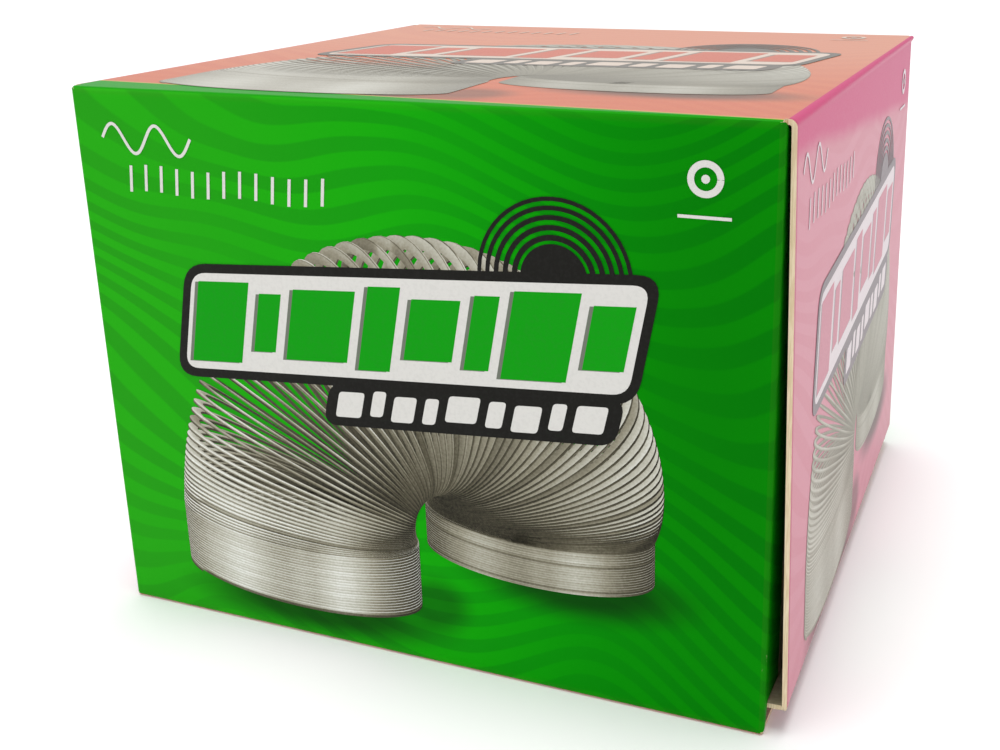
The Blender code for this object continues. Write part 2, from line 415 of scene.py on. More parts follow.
    def over_print(self, tree: bpy.types.NodeTree, colour: Any, u: Any, v: Any) -> tuple[Any, Any]:
        """The next panel's ink, which runs over the fold in a narrow wedge, and where it lies."""
        start, end = self.edge_ink_mm
        limit = calculate(tree, "MULTIPLY_ADD", u, (end - start) / FACE_WIDTH_MM, start)
        inside = calculate(tree, "SUBTRACT", limit, v)
        line = soft_step(tree, inside, -0.42, -0.30)
        colour = wash(tree, colour, 0.75, line, linear("#c9b23a"))
        inked = soft_step(tree, inside, -0.08, 0.05)
        return mix_colours(tree, inked, colour, linear(self.edge_ink)), inked

    def worn_folds(
        self, tree: bpy.types.NodeTree, colour: Any, place: Any, fold: Any
    ) -> bpy.types.NodeSocket:
        """Cracked ink along the folds, in specks about 0.4 mm wide."""
        specks = calculate(tree, "ADD", noise(tree, place, 0.45, 4.0), noise(tree, place, 6.0, 1.0))
        crack = calculate(tree, "MULTIPLY", soft_step(tree, specks, 1.38, 1.60), fold)
        colour = wash(tree, colour, 0.04, fold, linear("#6f6a3c"))
        return mix_colours(tree, crack, colour, linear("#d9cfae"))

    def varnish(self, tree: bpy.types.NodeTree, shader: bpy.types.Node) -> None:
        """Satin varnish over paper fibres, which shows as fine unevenness in the gloss."""
        place = self.object_mm(tree)
        fibres = noise(tree, place, 0.28, 5.0)
        cockle = noise(tree, place, 14.0, 1.0)
        height = calculate(tree, "MULTIPLY_ADD", cockle, 6.0, fibres)
        self.roughen(tree, shader, height, 0.02 * MM, 0.35)
        gloss = calculate(tree, "MULTIPLY_ADD", fibres, 0.10, self.roughness - 0.05)
        tree.links.new(gloss, shader.inputs["Roughness"])
        shader.inputs["IOR"].default_value = BOARD_IOR
        shader.inputs["Specular IOR Level"].default_value = self.specular


@dataclass(frozen=True)
class BareBoard(Finish):
    """The uncoated back of grey-brown carton board: matt, with fibres and faint darker mottling."""

    colour: str = "#bfb096"
    fleck: str = "#a2927a"

    def lay_out(self, tree: bpy.types.NodeTree, shader: bpy.types.Node) -> None:
        """Lays out the fibres."""
        place = self.object_mm(tree)
        long_way = add_node(
            tree, "ShaderNodeMapping", None, {"Vector": place, "Scale": (0.35, 1.0, 0.35)}
        ).outputs[0]
        fibres = noise(tree, long_way, 0.3, 6.0)
        cloud = noise(tree, place, 5.0, 2.0)
        mottle = calculate(tree, "MULTIPLY_ADD", cloud, 0.4, fibres)
        share = soft_step(tree, mottle, 0.42, 1.05)
        colour = mix_colours(tree, share, linear(self.fleck), linear(self.colour))
        tree.links.new(colour, shader.inputs["Base Color"])
        shader.inputs["Roughness"].default_value = 0.88
        shader.inputs["IOR"].default_value = BOARD_IOR
        shader.inputs["Specular IOR Level"].default_value = 0.2
        self.roughen(tree, shader, fibres, 0.05 * MM, 0.6)


@dataclass(frozen=True)
class CutEdge(Finish):
    """The board's die-cut edge: matt, cream, with faint layers of pressed fibre, slightly furred."""

    colour: str = "#e6d3b4"
    layer: str = "#d6c09d"

    def lay_out(self, tree: bpy.types.NodeTree, shader: bpy.types.Node) -> None:
        """Lays out the layers."""
        place = self.object_mm(tree)
        squeezed = add_node(
            tree, "ShaderNodeMapping", None, {"Vector": place, "Scale": (2.0, 1.0, 0.12)}
        ).outputs[0]
        layers = noise(tree, squeezed, 0.22, 3.0)
        colour = mix_colours(
            tree, soft_step(tree, layers, 0.40, 0.62), linear(self.layer), linear(self.colour)
        )
        tree.links.new(colour, shader.inputs["Base Color"])
        shader.inputs["Roughness"].default_value = 0.8
        shader.inputs["Specular IOR Level"].default_value = 0.25
        self.roughen(tree, shader, layers, 0.05 * MM, 0.5)


@dataclass(frozen=True)
class PrintedInk(Finish):
    """One flat ink under the carton's satin varnish, with the paper's grain in it."""

    colour: str = "#111111"
    specular: float = 0.25
    roughness: float = 0.38

    def lay_out(self, tree: bpy.types.NodeTree, shader: bpy.types.Node) -> None:
        """Lays out the ink's slight unevenness."""
        place = self.object_mm(tree)
        grain = noise(tree, place, 0.3, 4.0)
        base = Vector(linear(self.colour))
        worn = base * 0.94 + Vector((0.004, 0.004, 0.004, 0.0))
        colour = mix_colours(tree, soft_step(tree, grain, 0.42, 0.70), tuple(base), tuple(worn))
        tree.links.new(colour, shader.inputs["Base Color"])
        gloss = calculate(tree, "MULTIPLY_ADD", grain, 0.12, self.roughness - 0.06)
        tree.links.new(gloss, shader.inputs["Roughness"])
        shader.inputs["IOR"].default_value = BOARD_IOR
        shader.inputs["Specular IOR Level"].default_value = self.specular
        self.roughen(tree, shader, grain, 0.02 * MM, 0.3)


@dataclass(frozen=True)
class PictureInk(Finish):
    """The printed picture of the steel coil, in greys from the pieces' own tone, with print grain."""

    specular: float = 0.12
    # flat: how far the tones are pulled towards a light grey, as painted glare for the top's and the
    # ends' copies.
    flat: float = 0.0
    roughness: float = 0.38

    def lay_out(self, tree: bpy.types.NodeTree, shader: bpy.types.Node) -> None:
        """Lays out the greys."""
        tone = add_node(tree, "ShaderNodeAttribute", {"attribute_name": TONE}).outputs["Fac"]
        # Painted glare: flat pulls the tones towards a light grey.
        tone = calculate(tree, "MULTIPLY_ADD", tone, 1 - self.flat, 0.66 * self.flat)
        place = self.object_mm(tree)
        grain = calculate(tree, "MULTIPLY_ADD", noise(tree, place, 0.25, 4.0), 0.22, -0.11)
        ramp = add_node(
            tree, "ShaderNodeValToRGB", None, {0: calculate(tree, "ADD", tone, grain)}
        )
        greys = ("#1c1a12", "#555040", "#8f8a78", "#bfbdb0", "#ecede8")
        elements = ramp.color_ramp.elements
        for index, grey in enumerate(greys):
            position = index / (len(greys) - 1)
            stop = elements[index] if index < 2 else elements.new(position)
            stop.position = position
            stop.color = linear(grey)
        tree.links.new(ramp.outputs[0], shader.inputs["Base Color"])
        shader.inputs["Roughness"].default_value = self.roughness
        shader.inputs["IOR"].default_value = BOARD_IOR
        shader.inputs["Specular IOR Level"].default_value = self.specular


@dataclass(frozen=True)
class Inks:
    """The inks of one face. A face that is seen at a low angle has glossier ones; most of the top's and
    the ends' inks are also paler copies, with painted glare in their colours.
    """

    black: Finish
    white: Finish
    grey: Finish
    bars: Finish
    picture: Finish


@dataclass(frozen=True)
class RolledSpringSteel(Finish):
    """Flat-rolled tempered steel wire: bright, with fine drawing lines that run along the wire."""

    colour: str = "#c9c7c2"

    def lay_out(self, tree: bpy.types.NodeTree, shader: bpy.types.Node) -> None:
        """Lays out the drawing lines and faint oil marks."""
        place = self.object_mm(tree)
        x, y, z = add_node(tree, "ShaderNodeSeparateXYZ", None, {0: place}).outputs
        squares = calculate(tree, "MULTIPLY_ADD", x, x, calculate(tree, "MULTIPLY", y, y))
        radius = calculate(tree, "SQRT", squares)
        lines_at = add_node(tree, "ShaderNodeCombineXYZ", None, {0: radius, 1: 0.0, 2: z}).outputs[0]
        lines = noise(tree, lines_at, 0.09, 4.0)
        oil = noise(tree, place, 7.0, 2.0)
        oiled = soft_step(tree, oil, 0.3, 0.85)
        colour = mix_colours(tree, oiled, linear(self.colour), linear("#bcb9b2"))
        tree.links.new(colour, shader.inputs["Base Color"])
        shader.inputs["Metallic"].default_value = 1.0
        least = calculate(tree, "MULTIPLY_ADD", oil, 0.04, 0.14)
        gloss = calculate(tree, "MULTIPLY_ADD", lines, 0.20, least)
        tree.links.new(gloss, shader.inputs["Roughness"])
        self.roughen(tree, shader, lines, 0.01 * MM, 0.5)


@dataclass(frozen=True)
class PlatedClipSteel(Finish):
    """Zinc-plated sheet steel, stamped and crimped: duller than the wire, with press marks."""

    colour: str = "#b4b4b2"

    def lay_out(self, tree: bpy.types.NodeTree, shader: bpy.types.Node) -> None:
        """Lays out the plating's crystals and rubbed spots."""
        place = self.object_mm(tree)
        crystals = add_node(
            tree, "ShaderNodeTexVoronoi", {"feature": "F1"}, {"Vector": place, "Scale": 1 / 0.35}
        ).outputs["Distance"]
        rubbed = noise(tree, place, 1.2, 3.0)
        share = soft_step(tree, rubbed, 0.35, 0.7)
        colour = mix_colours(tree, share, linear(self.colour), linear("#8e8f90"))
        tree.links.new(colour, shader.inputs["Base Color"])
        shader.inputs["Metallic"].default_value = 1.0
        gloss = calculate(tree, "MULTIPLY_ADD", crystals, 0.18, 0.26)
        tree.links.new(gloss, shader.inputs["Roughness"])
        self.roughen(tree, shader, rubbed, 0.02 * MM, 0.4)


@dataclass(frozen=True)
class PaleFloor(Finish):
    """A plain matt white table."""

    def lay_out(self, tree: bpy.types.NodeTree, shader: bpy.types.Node) -> None:
        """Lays out a barely uneven white."""
        place = self.object_mm(tree)
        cloud = noise(tree, place, 60.0, 1.0)
        colour = mix_colours(tree, cloud, linear("#fbfbfa"), linear("#f6f6f6"))
        tree.links.new(colour, shader.inputs["Base Color"])
        shader.inputs["Roughness"].default_value = 0.9
        shader.inputs["Specular IOR Level"].default_value = 0.1


BARE_BOARD = BareBoard("carton_board_bare_back")
CUT_EDGE = CutEdge("carton_board_cut_edge")
# The green board has painted shade towards its right edge and painted glare towards its left edge.
GREEN_BOARD = PrintedBoard("carton_board_green_print", faded=0.018, dimmed=0.43)
# The orange top has painted glare: its ink is painted paler towards the far edge.
ORANGE_BOARD = PrintedBoard(
    "carton_board_orange_print",
    deep="#cb5c2e",
    light="#cf6535",
    specular=0.75,
    roughness=0.3,
    pale_far=0.16,
    picture_scale=TOP_SCALE,
    picture_shift=TOP_SHIFT_MM,
    edge_ink="#0d9608",
    edge_ink_mm=(4.4, 0.2),
)
ORANGE_BASE_BOARD = PrintedBoard(
    "carton_board_orange_print_base", deep="#d2602e", light="#dd7644", specular=0.3
)
# The pink's pale ground is painted glare; the deeper band under the top fold is where that painted glare
# stops.
PINK_BOARD = PrintedBoard(
    "carton_board_pink_print",
    deep="#d08092",
    light="#d38799",
    specular=0.2,
    roughness=0.36,
    front_line="#b8265e",
    far_band="#c9266f",
)
GREEN_INKS = Inks(
    PrintedInk("black_ink", "#161512", 0.10),
    PrintedInk("white_ink", "#d8d6d2", 0.10),
    PrintedInk("grey_ink", "#6e7468", 0.10),
    PrintedInk("green_bar_ink", "#0f9912", 0.04),
    PictureInk("coil_picture_ink"),
)
# The top's inks: glossier, and paled with painted glare, so that the black is a grey-brown.
ORANGE_INKS = Inks(
    PrintedInk("black_ink_glossy", "#5f584e", 0.75, 0.3),
    PrintedInk("white_ink_glossy", "#dac8b8", 0.75, 0.3),
    PrintedInk("grey_ink_glossy", "#8d7a6c", 0.75, 0.3),
    PrintedInk("orange_bar_ink", "#cb5c3c", 0.75, 0.3),
    PictureInk("coil_picture_ink_glossy", 0.75, 0.5, 0.3),
)
# The ends' inks: paled with painted glare, like the pink ground.
PINK_INKS = Inks(
    PrintedInk("black_ink_satin", "#807379", 0.2, 0.36),
    PrintedInk("white_ink_satin", "#e2d6da", 0.2, 0.36),
    PrintedInk("grey_ink_satin", "#aa989f", 0.2, 0.36),
    PrintedInk("pink_bar_ink", "#cb7e91", 0.2, 0.36),
    PictureInk("coil_picture_ink_satin", 0.2, 0.6, 0.36),
)
SPRING_STEEL = RolledSpringSteel("rolled_spring_steel")
CLIP_STEEL = PlatedClipSteel("plated_clip_steel")
FLOOR = PaleFloor("pale_table")


# ---- Meshes ----------------------------------------------------------------------------------
class Side(Enum):
    """The carton's two ends, with the sign of their X."""

    RIGHT = 1
    LEFT = -1

    @property
    def label(self) -> str:
        """The name that the end's bodies and nodes start with."""
        return self.name.lower()


def make_object(
    name: str,
    points: Sequence[Sequence[float]],
    faces: Sequence[Sequence[int]],
    finishes: Sequence[Finish],
    finish_of_face: Sequence[int] | None = None,
    smooth_deg: float | None = None,
) -> bpy.types.Object:
    """Makes a mesh object at the origin.

    Args:
        name: The piece's name.
        points: Its points in metres.
        faces: Its faces as point numbers.
        finishes: The finishes of its material slots.
        finish_of_face: The slot of each face; all use the first if this is left out.
        smooth_deg: Faces that meet under this angle are shaded smooth.

    Returns:
        The new object.
    """
    mesh = bpy.data.meshes.new(name)
    mesh.from_pydata([tuple(p) for p in points], [], [tuple(f) for f in faces])
    for finish in finishes:
        mesh.materials.append(finish.material())
    if finish_of_face is not None:
        mesh.polygons.foreach_set("material_index", list(finish_of_face))
    if smooth_deg is not None:
        mesh.shade_smooth()
        mesh.set_sharp_from_angle(angle=math.radians(smooth_deg))
    mesh.update()
    made = bpy.data.objects.new(name, mesh)
    bpy.context.scene.collection.objects.link(made)
    return made


def set_attribute(piece: bpy.types.Object, name: str, kind: str, values: np.ndarray) -> None:
    """Writes a point attribute.

    Args:
        piece: The mesh object.
        name: The attribute's name.
        kind: FLOAT or FLOAT_VECTOR.
        values: One value or one vector for each point.
    """
    attribute = piece.data.attributes.new(name, kind, "POINT")
    key = "value" if kind == "FLOAT" else "vector"
    attribute.data.foreach_set(key, np.asarray(values, np.float32).ravel())


@dataclass
class FoldPath:
    """A board's outer face seen end-on: flats and round folds, one after another.

    Lengths run along the outer face. The board's body lies to the left of the way it runs, and each
    fold turns it that way.
    """

    start: tuple[float, float]
    heading_deg: float
    board: float
    parts: list[tuple[float, float]] = field(default_factory=list)  # length, radius (0 if flat)

    def flat(self, length: float) -> FoldPath:
        """Adds a flat stretch and returns the path."""
        self.parts.append((length, 0.0))
        return self

    def fold(self, radius: float, angle_deg: float) -> FoldPath:
        """Adds a round fold and returns the path."""
        self.parts.append((radius * math.radians(angle_deg), radius))
        return self

    def marks(self) -> list[float]:
        """The lengths at which each part starts, and the whole length."""
        ends = [0.0]
        for length, _ in self.parts:
            ends.append(ends[-1] + length)
        return ends

    def at(self, length: float, depth: float) -> tuple[float, float]:
        """A point on the path.

        Args:
            length: How far along the outer face.
            depth: How far into the board.

        Returns:
            The point's two coordinates.
        """
        x, y = self.start
        heading = math.radians(self.heading_deg)
        left = length
        for index, (part, radius) in enumerate(self.parts):
            last = index == len(self.parts) - 1
            run = left if last or left < part else part
            if radius:
                centre = (x - radius * math.sin(heading), y + radius * math.cos(heading))
                heading += run / radius
                x = centre[0] + radius * math.sin(heading)
                y = centre[1] - radius * math.cos(heading)
            else:
                x += run * math.cos(heading)
                y += run * math.sin(heading)
            left -= run
            if left <= 0:
                break
        return x - depth * math.sin(heading), y + depth * math.cos(heading)

    def rows(self, low: float, high: float, flat_step: float, fold_steps: int = 8) -> list[float]:
        """Lengths between low and high that follow the folds closely.

        Args:
            low: The first length.
            high: The last length.
            flat_step: The most between two rows on a flat.
            fold_steps: Rows in one fold.

        Returns:
            The lengths in order.
        """
        found = {round(low, 9), round(high, 9)}
        ends = self.marks()
        for begin, end, (length, radius) in zip(ends, ends[1:], self.parts):
            steps = fold_steps if radius else max(1, math.ceil(length / flat_step))
            found |= {round(begin + (end - begin) * i / steps, 9) for i in range(steps + 1)}
            if not radius and length > 2 * MM:
                found |= {round(begin + near * MM, 9) for near in (0.15, 0.35, 0.7)}
                found |= {round(end - near * MM, 9) for near in (0.15, 0.35, 0.7)}
        return sorted(s for s in found if low - 1e-9 <= s <= high + 1e-9)

    def closeness(self, length: float, reach: float) -> float:
        """How close a length is to a fold, from 1 on it to 0 a reach away."""
        ends = self.marks()
        middles = [
            ((begin + end) / 2, (end - begin) / 2)
            for begin, end, (_, radius) in zip(ends, ends[1:], self.parts)
            if radius
        ]
        gaps = [max(0.0, abs(length - middle) - half) for middle, half in middles]
        return math.exp(-((min(gaps) / reach) ** 2)) if gaps else 0.0


@dataclass
class FoldedBoard:
    """One board that follows a fold path, cut to an outline along it."""

    path: FoldPath
    span: tuple[float, float]
    edges: Callable[[float], tuple[float, float]]
    place: Place
    print_origin: tuple[float, float] = (0.0, 0.0)
    print_axes: tuple[int, int] = (1, 0)
    print_signs: tuple[int, int] = (1, 1)
    extra_rows: Sequence[float] = ()
    columns: int = 10
    flat_step: float = 4 * MM
    printed_until: float | None = None

    def build(self, name: str, outside: Finish, inside: Finish = BARE_BOARD) -> bpy.types.Object:
        """Builds the shell.

        Args:
            name: The piece's name.
            outside: The finish of the outer face.
            inside: The finish of the inner face.

        Returns:
            The board as one closed mesh.
        """
        rows = set(self.path.rows(*self.span, self.flat_step))
        rows |= {round(s, 9) for s in self.extra_rows if self.span[0] < s < self.span[1]}
        ordered = sorted(rows)
        points: list[tuple[float, float, float]] = []
        prints: list[tuple[float, float, float]] = []
        count = self.columns + 1
        for depth in (0.0, self.path.board):
            for s in ordered:
                low, high = self.edges(s)
                a, b = self.path.at(s, depth)
                crease = self.path.closeness(s, 0.22 * MM)
                for j in range(count):
                    t = low + (high - low) * j / self.columns
                    points.append(self.place(a, b, t))
                    flat = (s, t)
                    u = (flat[self.print_axes[0]] - self.print_origin[0]) * self.print_signs[0]
                    v = (flat[self.print_axes[1]] - self.print_origin[1]) * self.print_signs[1]
                    prints.append((u / MM, v / MM, crease))
        faces, kinds = self.skin(len(ordered), count, ordered)
        middle = len(ordered) // 2 * count + count // 2
        across = Vector(points[middle + 1]) - Vector(points[middle])
        along = Vector(points[middle + count]) - Vector(points[middle])
        inward = Vector(points[middle + len(ordered) * count]) - Vector(points[middle])
        if across.cross(along).dot(inward) > 0:
            faces = [tuple(reversed(f)) for f in faces]
        board = make_object(name, points, faces, (outside, inside, CUT_EDGE), kinds, 30)
        set_attribute(board, PRINT_PLACE, "FLOAT_VECTOR", np.array(prints))
        return board

    def skin(
        self, row_count: int, count: int, rows: Sequence[float]
    ) -> tuple[list[tuple[int, ...]], list[int]]:
        """The faces of both sides and of the cut edges.

        Args:
            row_count: How many rows each side has.
            count: How many points each row has.
            rows: The rows' lengths.

        Returns:
            The faces, and the material slot of each.
        """
        faces: list[tuple[int, ...]] = []
        kinds: list[int] = []
        back = row_count * count
        for i in range(row_count - 1):
            bare = self.printed_until is not None and rows[i] >= self.printed_until - 1e-9
            for j in range(count - 1):
                k = i * count + j
                faces.append((k, k + 1, k + count + 1, k + count))
                kinds.append(1 if bare else 0)
                faces.append((back + k, back + k + count, back + k + count + 1, back + k + 1))
                kinds.append(1)
        rim = [j for j in range(count)]
        rim += [i * count + count - 1 for i in range(1, row_count)]
        rim += [(row_count - 1) * count + j for j in range(count - 2, -1, -1)]
        rim += [i * count for i in range(row_count - 2, 0, -1)]
        for first, second in zip(rim, rim[1:] + rim[:1]):
            faces.append((second, first, back + first, back + second))
            kinds.append(2)
        return faces, kinds


# ---- The carton ------------------------------------------------------------------------------
@dataclass
class CartonSizes:
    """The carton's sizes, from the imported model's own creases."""

    half_sleeve: float
    half_depth: float
    half_width: float
    height: float
    spring_deg: dict[Side, float]
    closure_drop: float
    board: float = 0.5 * MM
    fold_radius: float = 0.75 * MM
    crease_radius: float = 0.5 * MM
    inset: dict[Side, float] = field(
        default_factory=lambda: {Side.RIGHT: 0.8 * MM, Side.LEFT: 1.35 * MM}
    )

    @classmethod
    def from_frame(cls, joints: Sequence[dict[str, Any]]) -> CartonSizes:
        """Reads the creases' places.

        Args:
            joints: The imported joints.

        Returns:
            The sizes.
        """
        at = {j["name"]: Vector(j["pos_m"]) for j in joints if "pos_m" in j}
        hinge = at["right_closure_fold"]
        dust = at["right_front_dust_fold"]
        springs = {}
        for side in Side:
            top = at[f"{side.label}_closure_fold"]
            low = at[f"{side.label}_tuck_fold"]
            springs[side] = math.degrees(math.atan2(abs(low.x - top.x), top.z - low.z))
        drop = (at["right_tuck_fold"] - hinge).length
        return cls(dust.x, -dust.y, hinge.x, hinge.z, springs, drop)

    def held_in(self, side: Side, y: float, z: float) -> float:
        """How far an end panel is pulled in, because only its front lower corner springs open.

        Args:
            side: Which end.
            y: The point's place from front to back.
            z: The point's height.

        Returns:
            The distance towards the sleeve.
        """
        if side is Side.LEFT:
            return 0.0
        down = min(1.0, max(0.0, (self.height - z) / self.closure_drop))
        back = min(1.0, max(0.0, 0.5 + y / (2 * self.half_depth)))
        past_fold = min(1.0, max(0.0, (self.height - z) / self.fold_radius))
        return past_fold * MM * (0.75 * down * (1 - back) + (0.7 + 1.5 * down) * back)


class Face(Enum):
    """The carton's printed faces."""

    FRONT = "front"
    BACK = "back"
    TOP = "top"
    BOTTOM = "bottom"
    RIGHT = "right"
    LEFT = "left"


@dataclass
class Sleeve:
    """The four panels and the seam flap, which are one strip of board folded four times."""

    sizes: CartonSizes
    seam_width: float = 12.0 * MM
    seam_taper: float = 3.0 * MM
    seam_end_gap: float = 1.2 * MM
    notch: float = 0.3 * MM

    def path(self) -> FoldPath:
        """The strip from the seam flap's free edge round to the back panel's lower edge."""
        z = self.sizes
        r = z.crease_radius
        inside = z.half_depth - z.board - 0.03 * MM
        top = z.board + self.seam_width
        path = FoldPath((-inside, top), -90.0, z.board)
        path.flat(top - r).fold(r, 90).flat(inside + z.half_depth - 2 * r).fold(r, 90)
        path.flat(z.height - 2 * r).fold(r, 90).flat(2 * z.half_depth - 2 * r).fold(r, 90)
        return path.flat(z.height - r - 0.05 * MM)

    def middles(self) -> list[float]:
        """The lengths at which the panels meet, halfway round each fold, and both ends."""
        marks = self.path().marks()
        folds = [(marks[i] + marks[i + 1]) / 2 for i in (1, 3, 5, 7)]
        return [0.0, *folds, marks[-1]]

    def build(self) -> list[bpy.types.Object]:
        """Builds and places the five boards.

        Returns:
            The boards.
        """
        z = self.sizes
        path = self.path()
        lengths = self.middles()
        top_s, back_s, rear_s = lengths[2:5]
        full = z.half_sleeve - z.crease_radius
        corner = z.half_sleeve - 0.28 * MM
        reach = z.half_sleeve - z.board - self.seam_end_gap

        def seam_edges(s: float) -> tuple[float, float]:
            cut = self.seam_taper * max(0.0, 1 - s / self.seam_width)
            return -reach + cut, reach - cut

        def side_edges(s: float) -> tuple[float, float]:
            near = min(abs(s - top_s), abs(s - back_s), abs(s - rear_s)) / self.notch
            out = (corner - full) * math.sqrt(max(0.0, 1 - near**4)) if near < 1 else 0.0
            return -full - out, full + out

        def top_edges(s: float) -> tuple[float, float]:
            near = min(abs(s - back_s), abs(s - rear_s))
            left = z.half_sleeve if near >= z.inset[Side.LEFT] else corner
            right = z.half_sleeve if near >= z.inset[Side.RIGHT] else corner
            return -left, right

        def base_edges(_: float) -> tuple[float, float]:
            return -z.half_sleeve + 0.2 * MM, z.half_sleeve - 0.2 * MM

        def place(a: float, b: float, t: float) -> tuple[float, float, float]:
            return t, -a, b

        notch_rows = [
            m + sign * self.notch * k / 8
            for m in (top_s, back_s, rear_s)
            for sign in (-1, 1)
            for k in range(1, 9)
        ]
        notch_rows += [
            m + sign * (inset + nudge)
            for m in (back_s, rear_s)
            for sign in (-1, 1)
            for inset in z.inset.values()
            for nudge in (-0.02 * MM, 0.0)
        ]
        plan = (
            ("seam_flap_board", "seam_flap", "plain_board", BARE_BOARD, seam_edges, 1),
            ("bottom_board", "bottom_panel", "orange_print", ORANGE_BASE_BOARD, base_edges, 1),
            ("front_board", "front_panel", "green_print", GREEN_BOARD, side_edges, 1),
            ("top_board", "top_panel", "orange_print", ORANGE_BOARD, top_edges, 1),
            ("back_board", "back_panel", "green_print", GREEN_BOARD, side_edges, -1),
        )
        made = []
        for (low, high), row in zip(zip(lengths, lengths[1:]), plan):
            name, node, slot, finish, edges, sign = row
            origin_s = low if sign > 0 else high
            board = FoldedBoard(
                path,
                (low, high),
                edges,
                place,
                print_origin=(-z.half_sleeve * sign, origin_s),
                print_signs=(sign, sign),
                extra_rows=notch_rows,
                columns=12,
            ).build(name, finish)
            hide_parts(node)
            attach(board, "sleeve")
            made.append(board)
        return made


@dataclass
class CartonEnd:
    """One end: the closure panel with its tuck flap, and the two dust flaps behind it."""

    sizes: CartonSizes
    side: Side
    tuck_length: float = 12.5 * MM
    tuck_side_gap: float = 0.8 * MM
    tuck_corner: float = 6.0 * MM
    seam_room: float = 0.8 * MM
    dust_length: float = 30.0 * MM
    dust_slope_deg: float = 30.0
    base_rise: float = 1.3 * MM
    dust_corner: float = 4.0 * MM
    shoulder_rise: float = 0.85 * MM
    shoulder_length: float = 2.5 * MM
    ink_bleed: float = 5.6 * MM

    def closure_path(self) -> FoldPath:
        """The board from the top panel over the closure panel to the tuck flap's free edge."""
        z = self.sizes
        r = z.fold_radius
        turn = 90.0 - z.spring_deg[self.side]
        near = r * math.tan(math.radians(turn / 2))
        path = FoldPath((z.half_sleeve - 0.6 * MM, -z.height), 0.0, z.board)
        path.flat(z.half_width - z.half_sleeve + 0.6 * MM - near).fold(r, turn)
        path.flat(z.closure_drop - near - r).fold(r, 90.0)
        return path.flat(self.tuck_length - r)

    def place_end(self, a: float, b: float, t: float) -> tuple[float, float, float]:
        """Puts a point of the closure's path in the row frame."""
        return self.side.value * (a - self.sizes.held_in(self.side, t, -b)), t, -b

    def build_closure(self) -> bpy.types.Object:
        """Builds the closure panel, with its round crease over to the top panel.

        Returns:
            The panel's board.
        """
        z = self.sizes
        path = self.closure_path()
        marks = path.marks()
        low, high = marks[0] + 0.6 * MM, marks[3]
        half = z.half_depth - z.inset[self.side]
        sign = self.side.value
        board = FoldedBoard(
            path,
            (low, high),
            lambda s: (-half, half),
            self.place_end,
            print_origin=(-z.half_depth * sign, (marks[1] + marks[2]) / 2 + z.height),
            print_signs=(sign, -1),
        ).build(f"{self.side.label}_closure_board", PINK_BOARD)
        start = Vector(self.place_end(*path.at(marks[1], 0.0), 0.0))
        end = Vector(self.place_end(*path.at(marks[2], 0.0), 0.0))
        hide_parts(f"{self.side.label}_closure_panel")
        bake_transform(board)
        return board

    def build_tuck(self) -> bpy.types.Object:
        """Builds the tuck flap, with its round crease against the closure panel.

        Returns:
            The flap's board.
        """
        z = self.sizes
        path = self.closure_path()
        marks = path.marks()
        low_edge = -z.half_depth + z.board + self.tuck_side_gap
        high_edge = z.half_depth - 2 * z.board - 0.3 * MM - self.seam_room
        inset = z.inset[self.side]
        corner = self.tuck_corner

        def edges(s: float) -> tuple[float, float]:
            bend = (s - marks[3]) / (marks[4] - marks[3])
            narrow = min(1.0, max(0.0, bend * 2 - 0.6))
            low = (-z.half_depth + inset) * (1 - narrow) + low_edge * narrow
            high = (z.half_depth - inset) * (1 - narrow) + high_edge * narrow
            past = s - (marks[5] - corner)
            cut = corner - math.sqrt(max(0.0, corner**2 - past**2)) if past > 0 else 0.0
            return low + cut, high - cut

        corner_rows = [marks[5] - corner * (1 - math.sin(k * math.pi / 20)) for k in range(11)]
        board = FoldedBoard(
            path,
            (marks[3], marks[5]),
            edges,
            self.place_end,
            print_origin=(-z.half_depth, marks[3]),
            print_signs=(1, -1),
            extra_rows=corner_rows,
        ).build(f"{self.side.label}_tuck_board", PINK_BOARD)
        start = Vector(self.place_end(*path.at(marks[3], 0.0), 0.0))
        end = Vector(self.place_end(*path.at(marks[4], 0.0), 0.0))
        label = self.side.label
        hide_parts(f"{label}_tuck_flap")
        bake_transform(board)
        return board

    def build_dust_flap(self, facing: int) -> bpy.types.Object:
        """Builds one dust flap, with its round crease against the front or back panel.

        Args:
            facing: -1 for the front one, 1 for the back one.

        Returns:
            The flap's board.
        """
        z = self.sizes
        r = z.crease_radius
        place_name = "front" if facing < 0 else "back"
        node = f"{self.side.label}_{place_name}_dust_flap"
        lowest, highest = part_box(node)
        path = FoldPath((z.half_sleeve - r, -z.half_depth), 0.0, z.board)
        path.flat(0.0).fold(r, 90.0).flat(self.dust_length - r)
        corner_s = path.marks()[2] - r
        base = lowest.z + self.base_rise
        top = highest.z + 0.15 * MM
        slope = math.tan(math.radians(self.dust_slope_deg))
        edge = 0.15 * MM
        heel = 1.25 * MM

        def edges(s: float) -> tuple[float, float]:
            u = min(self.dust_length, max(edge, s - corner_s))
            low = base
            if u < heel:
                low = 0.35 * MM + (base - 0.35 * MM) * (u / heel) ** 2.2
            past = u - (self.dust_length - self.dust_corner)
            if past > 0:
                low = base + self.dust_corner - math.sqrt(max(0.0, self.dust_corner**2 - past**2))
            near = min(u, self.ink_bleed)
            shoulder = self.shoulder_rise * max(0.0, 1 - u / self.shoulder_length)
            return low, top + shoulder - edge - 0.2 * near - slope * (u - near)

        def place(a: float, b: float, t: float) -> tuple[float, float, float]:
            return self.side.value * a, -facing * b, t

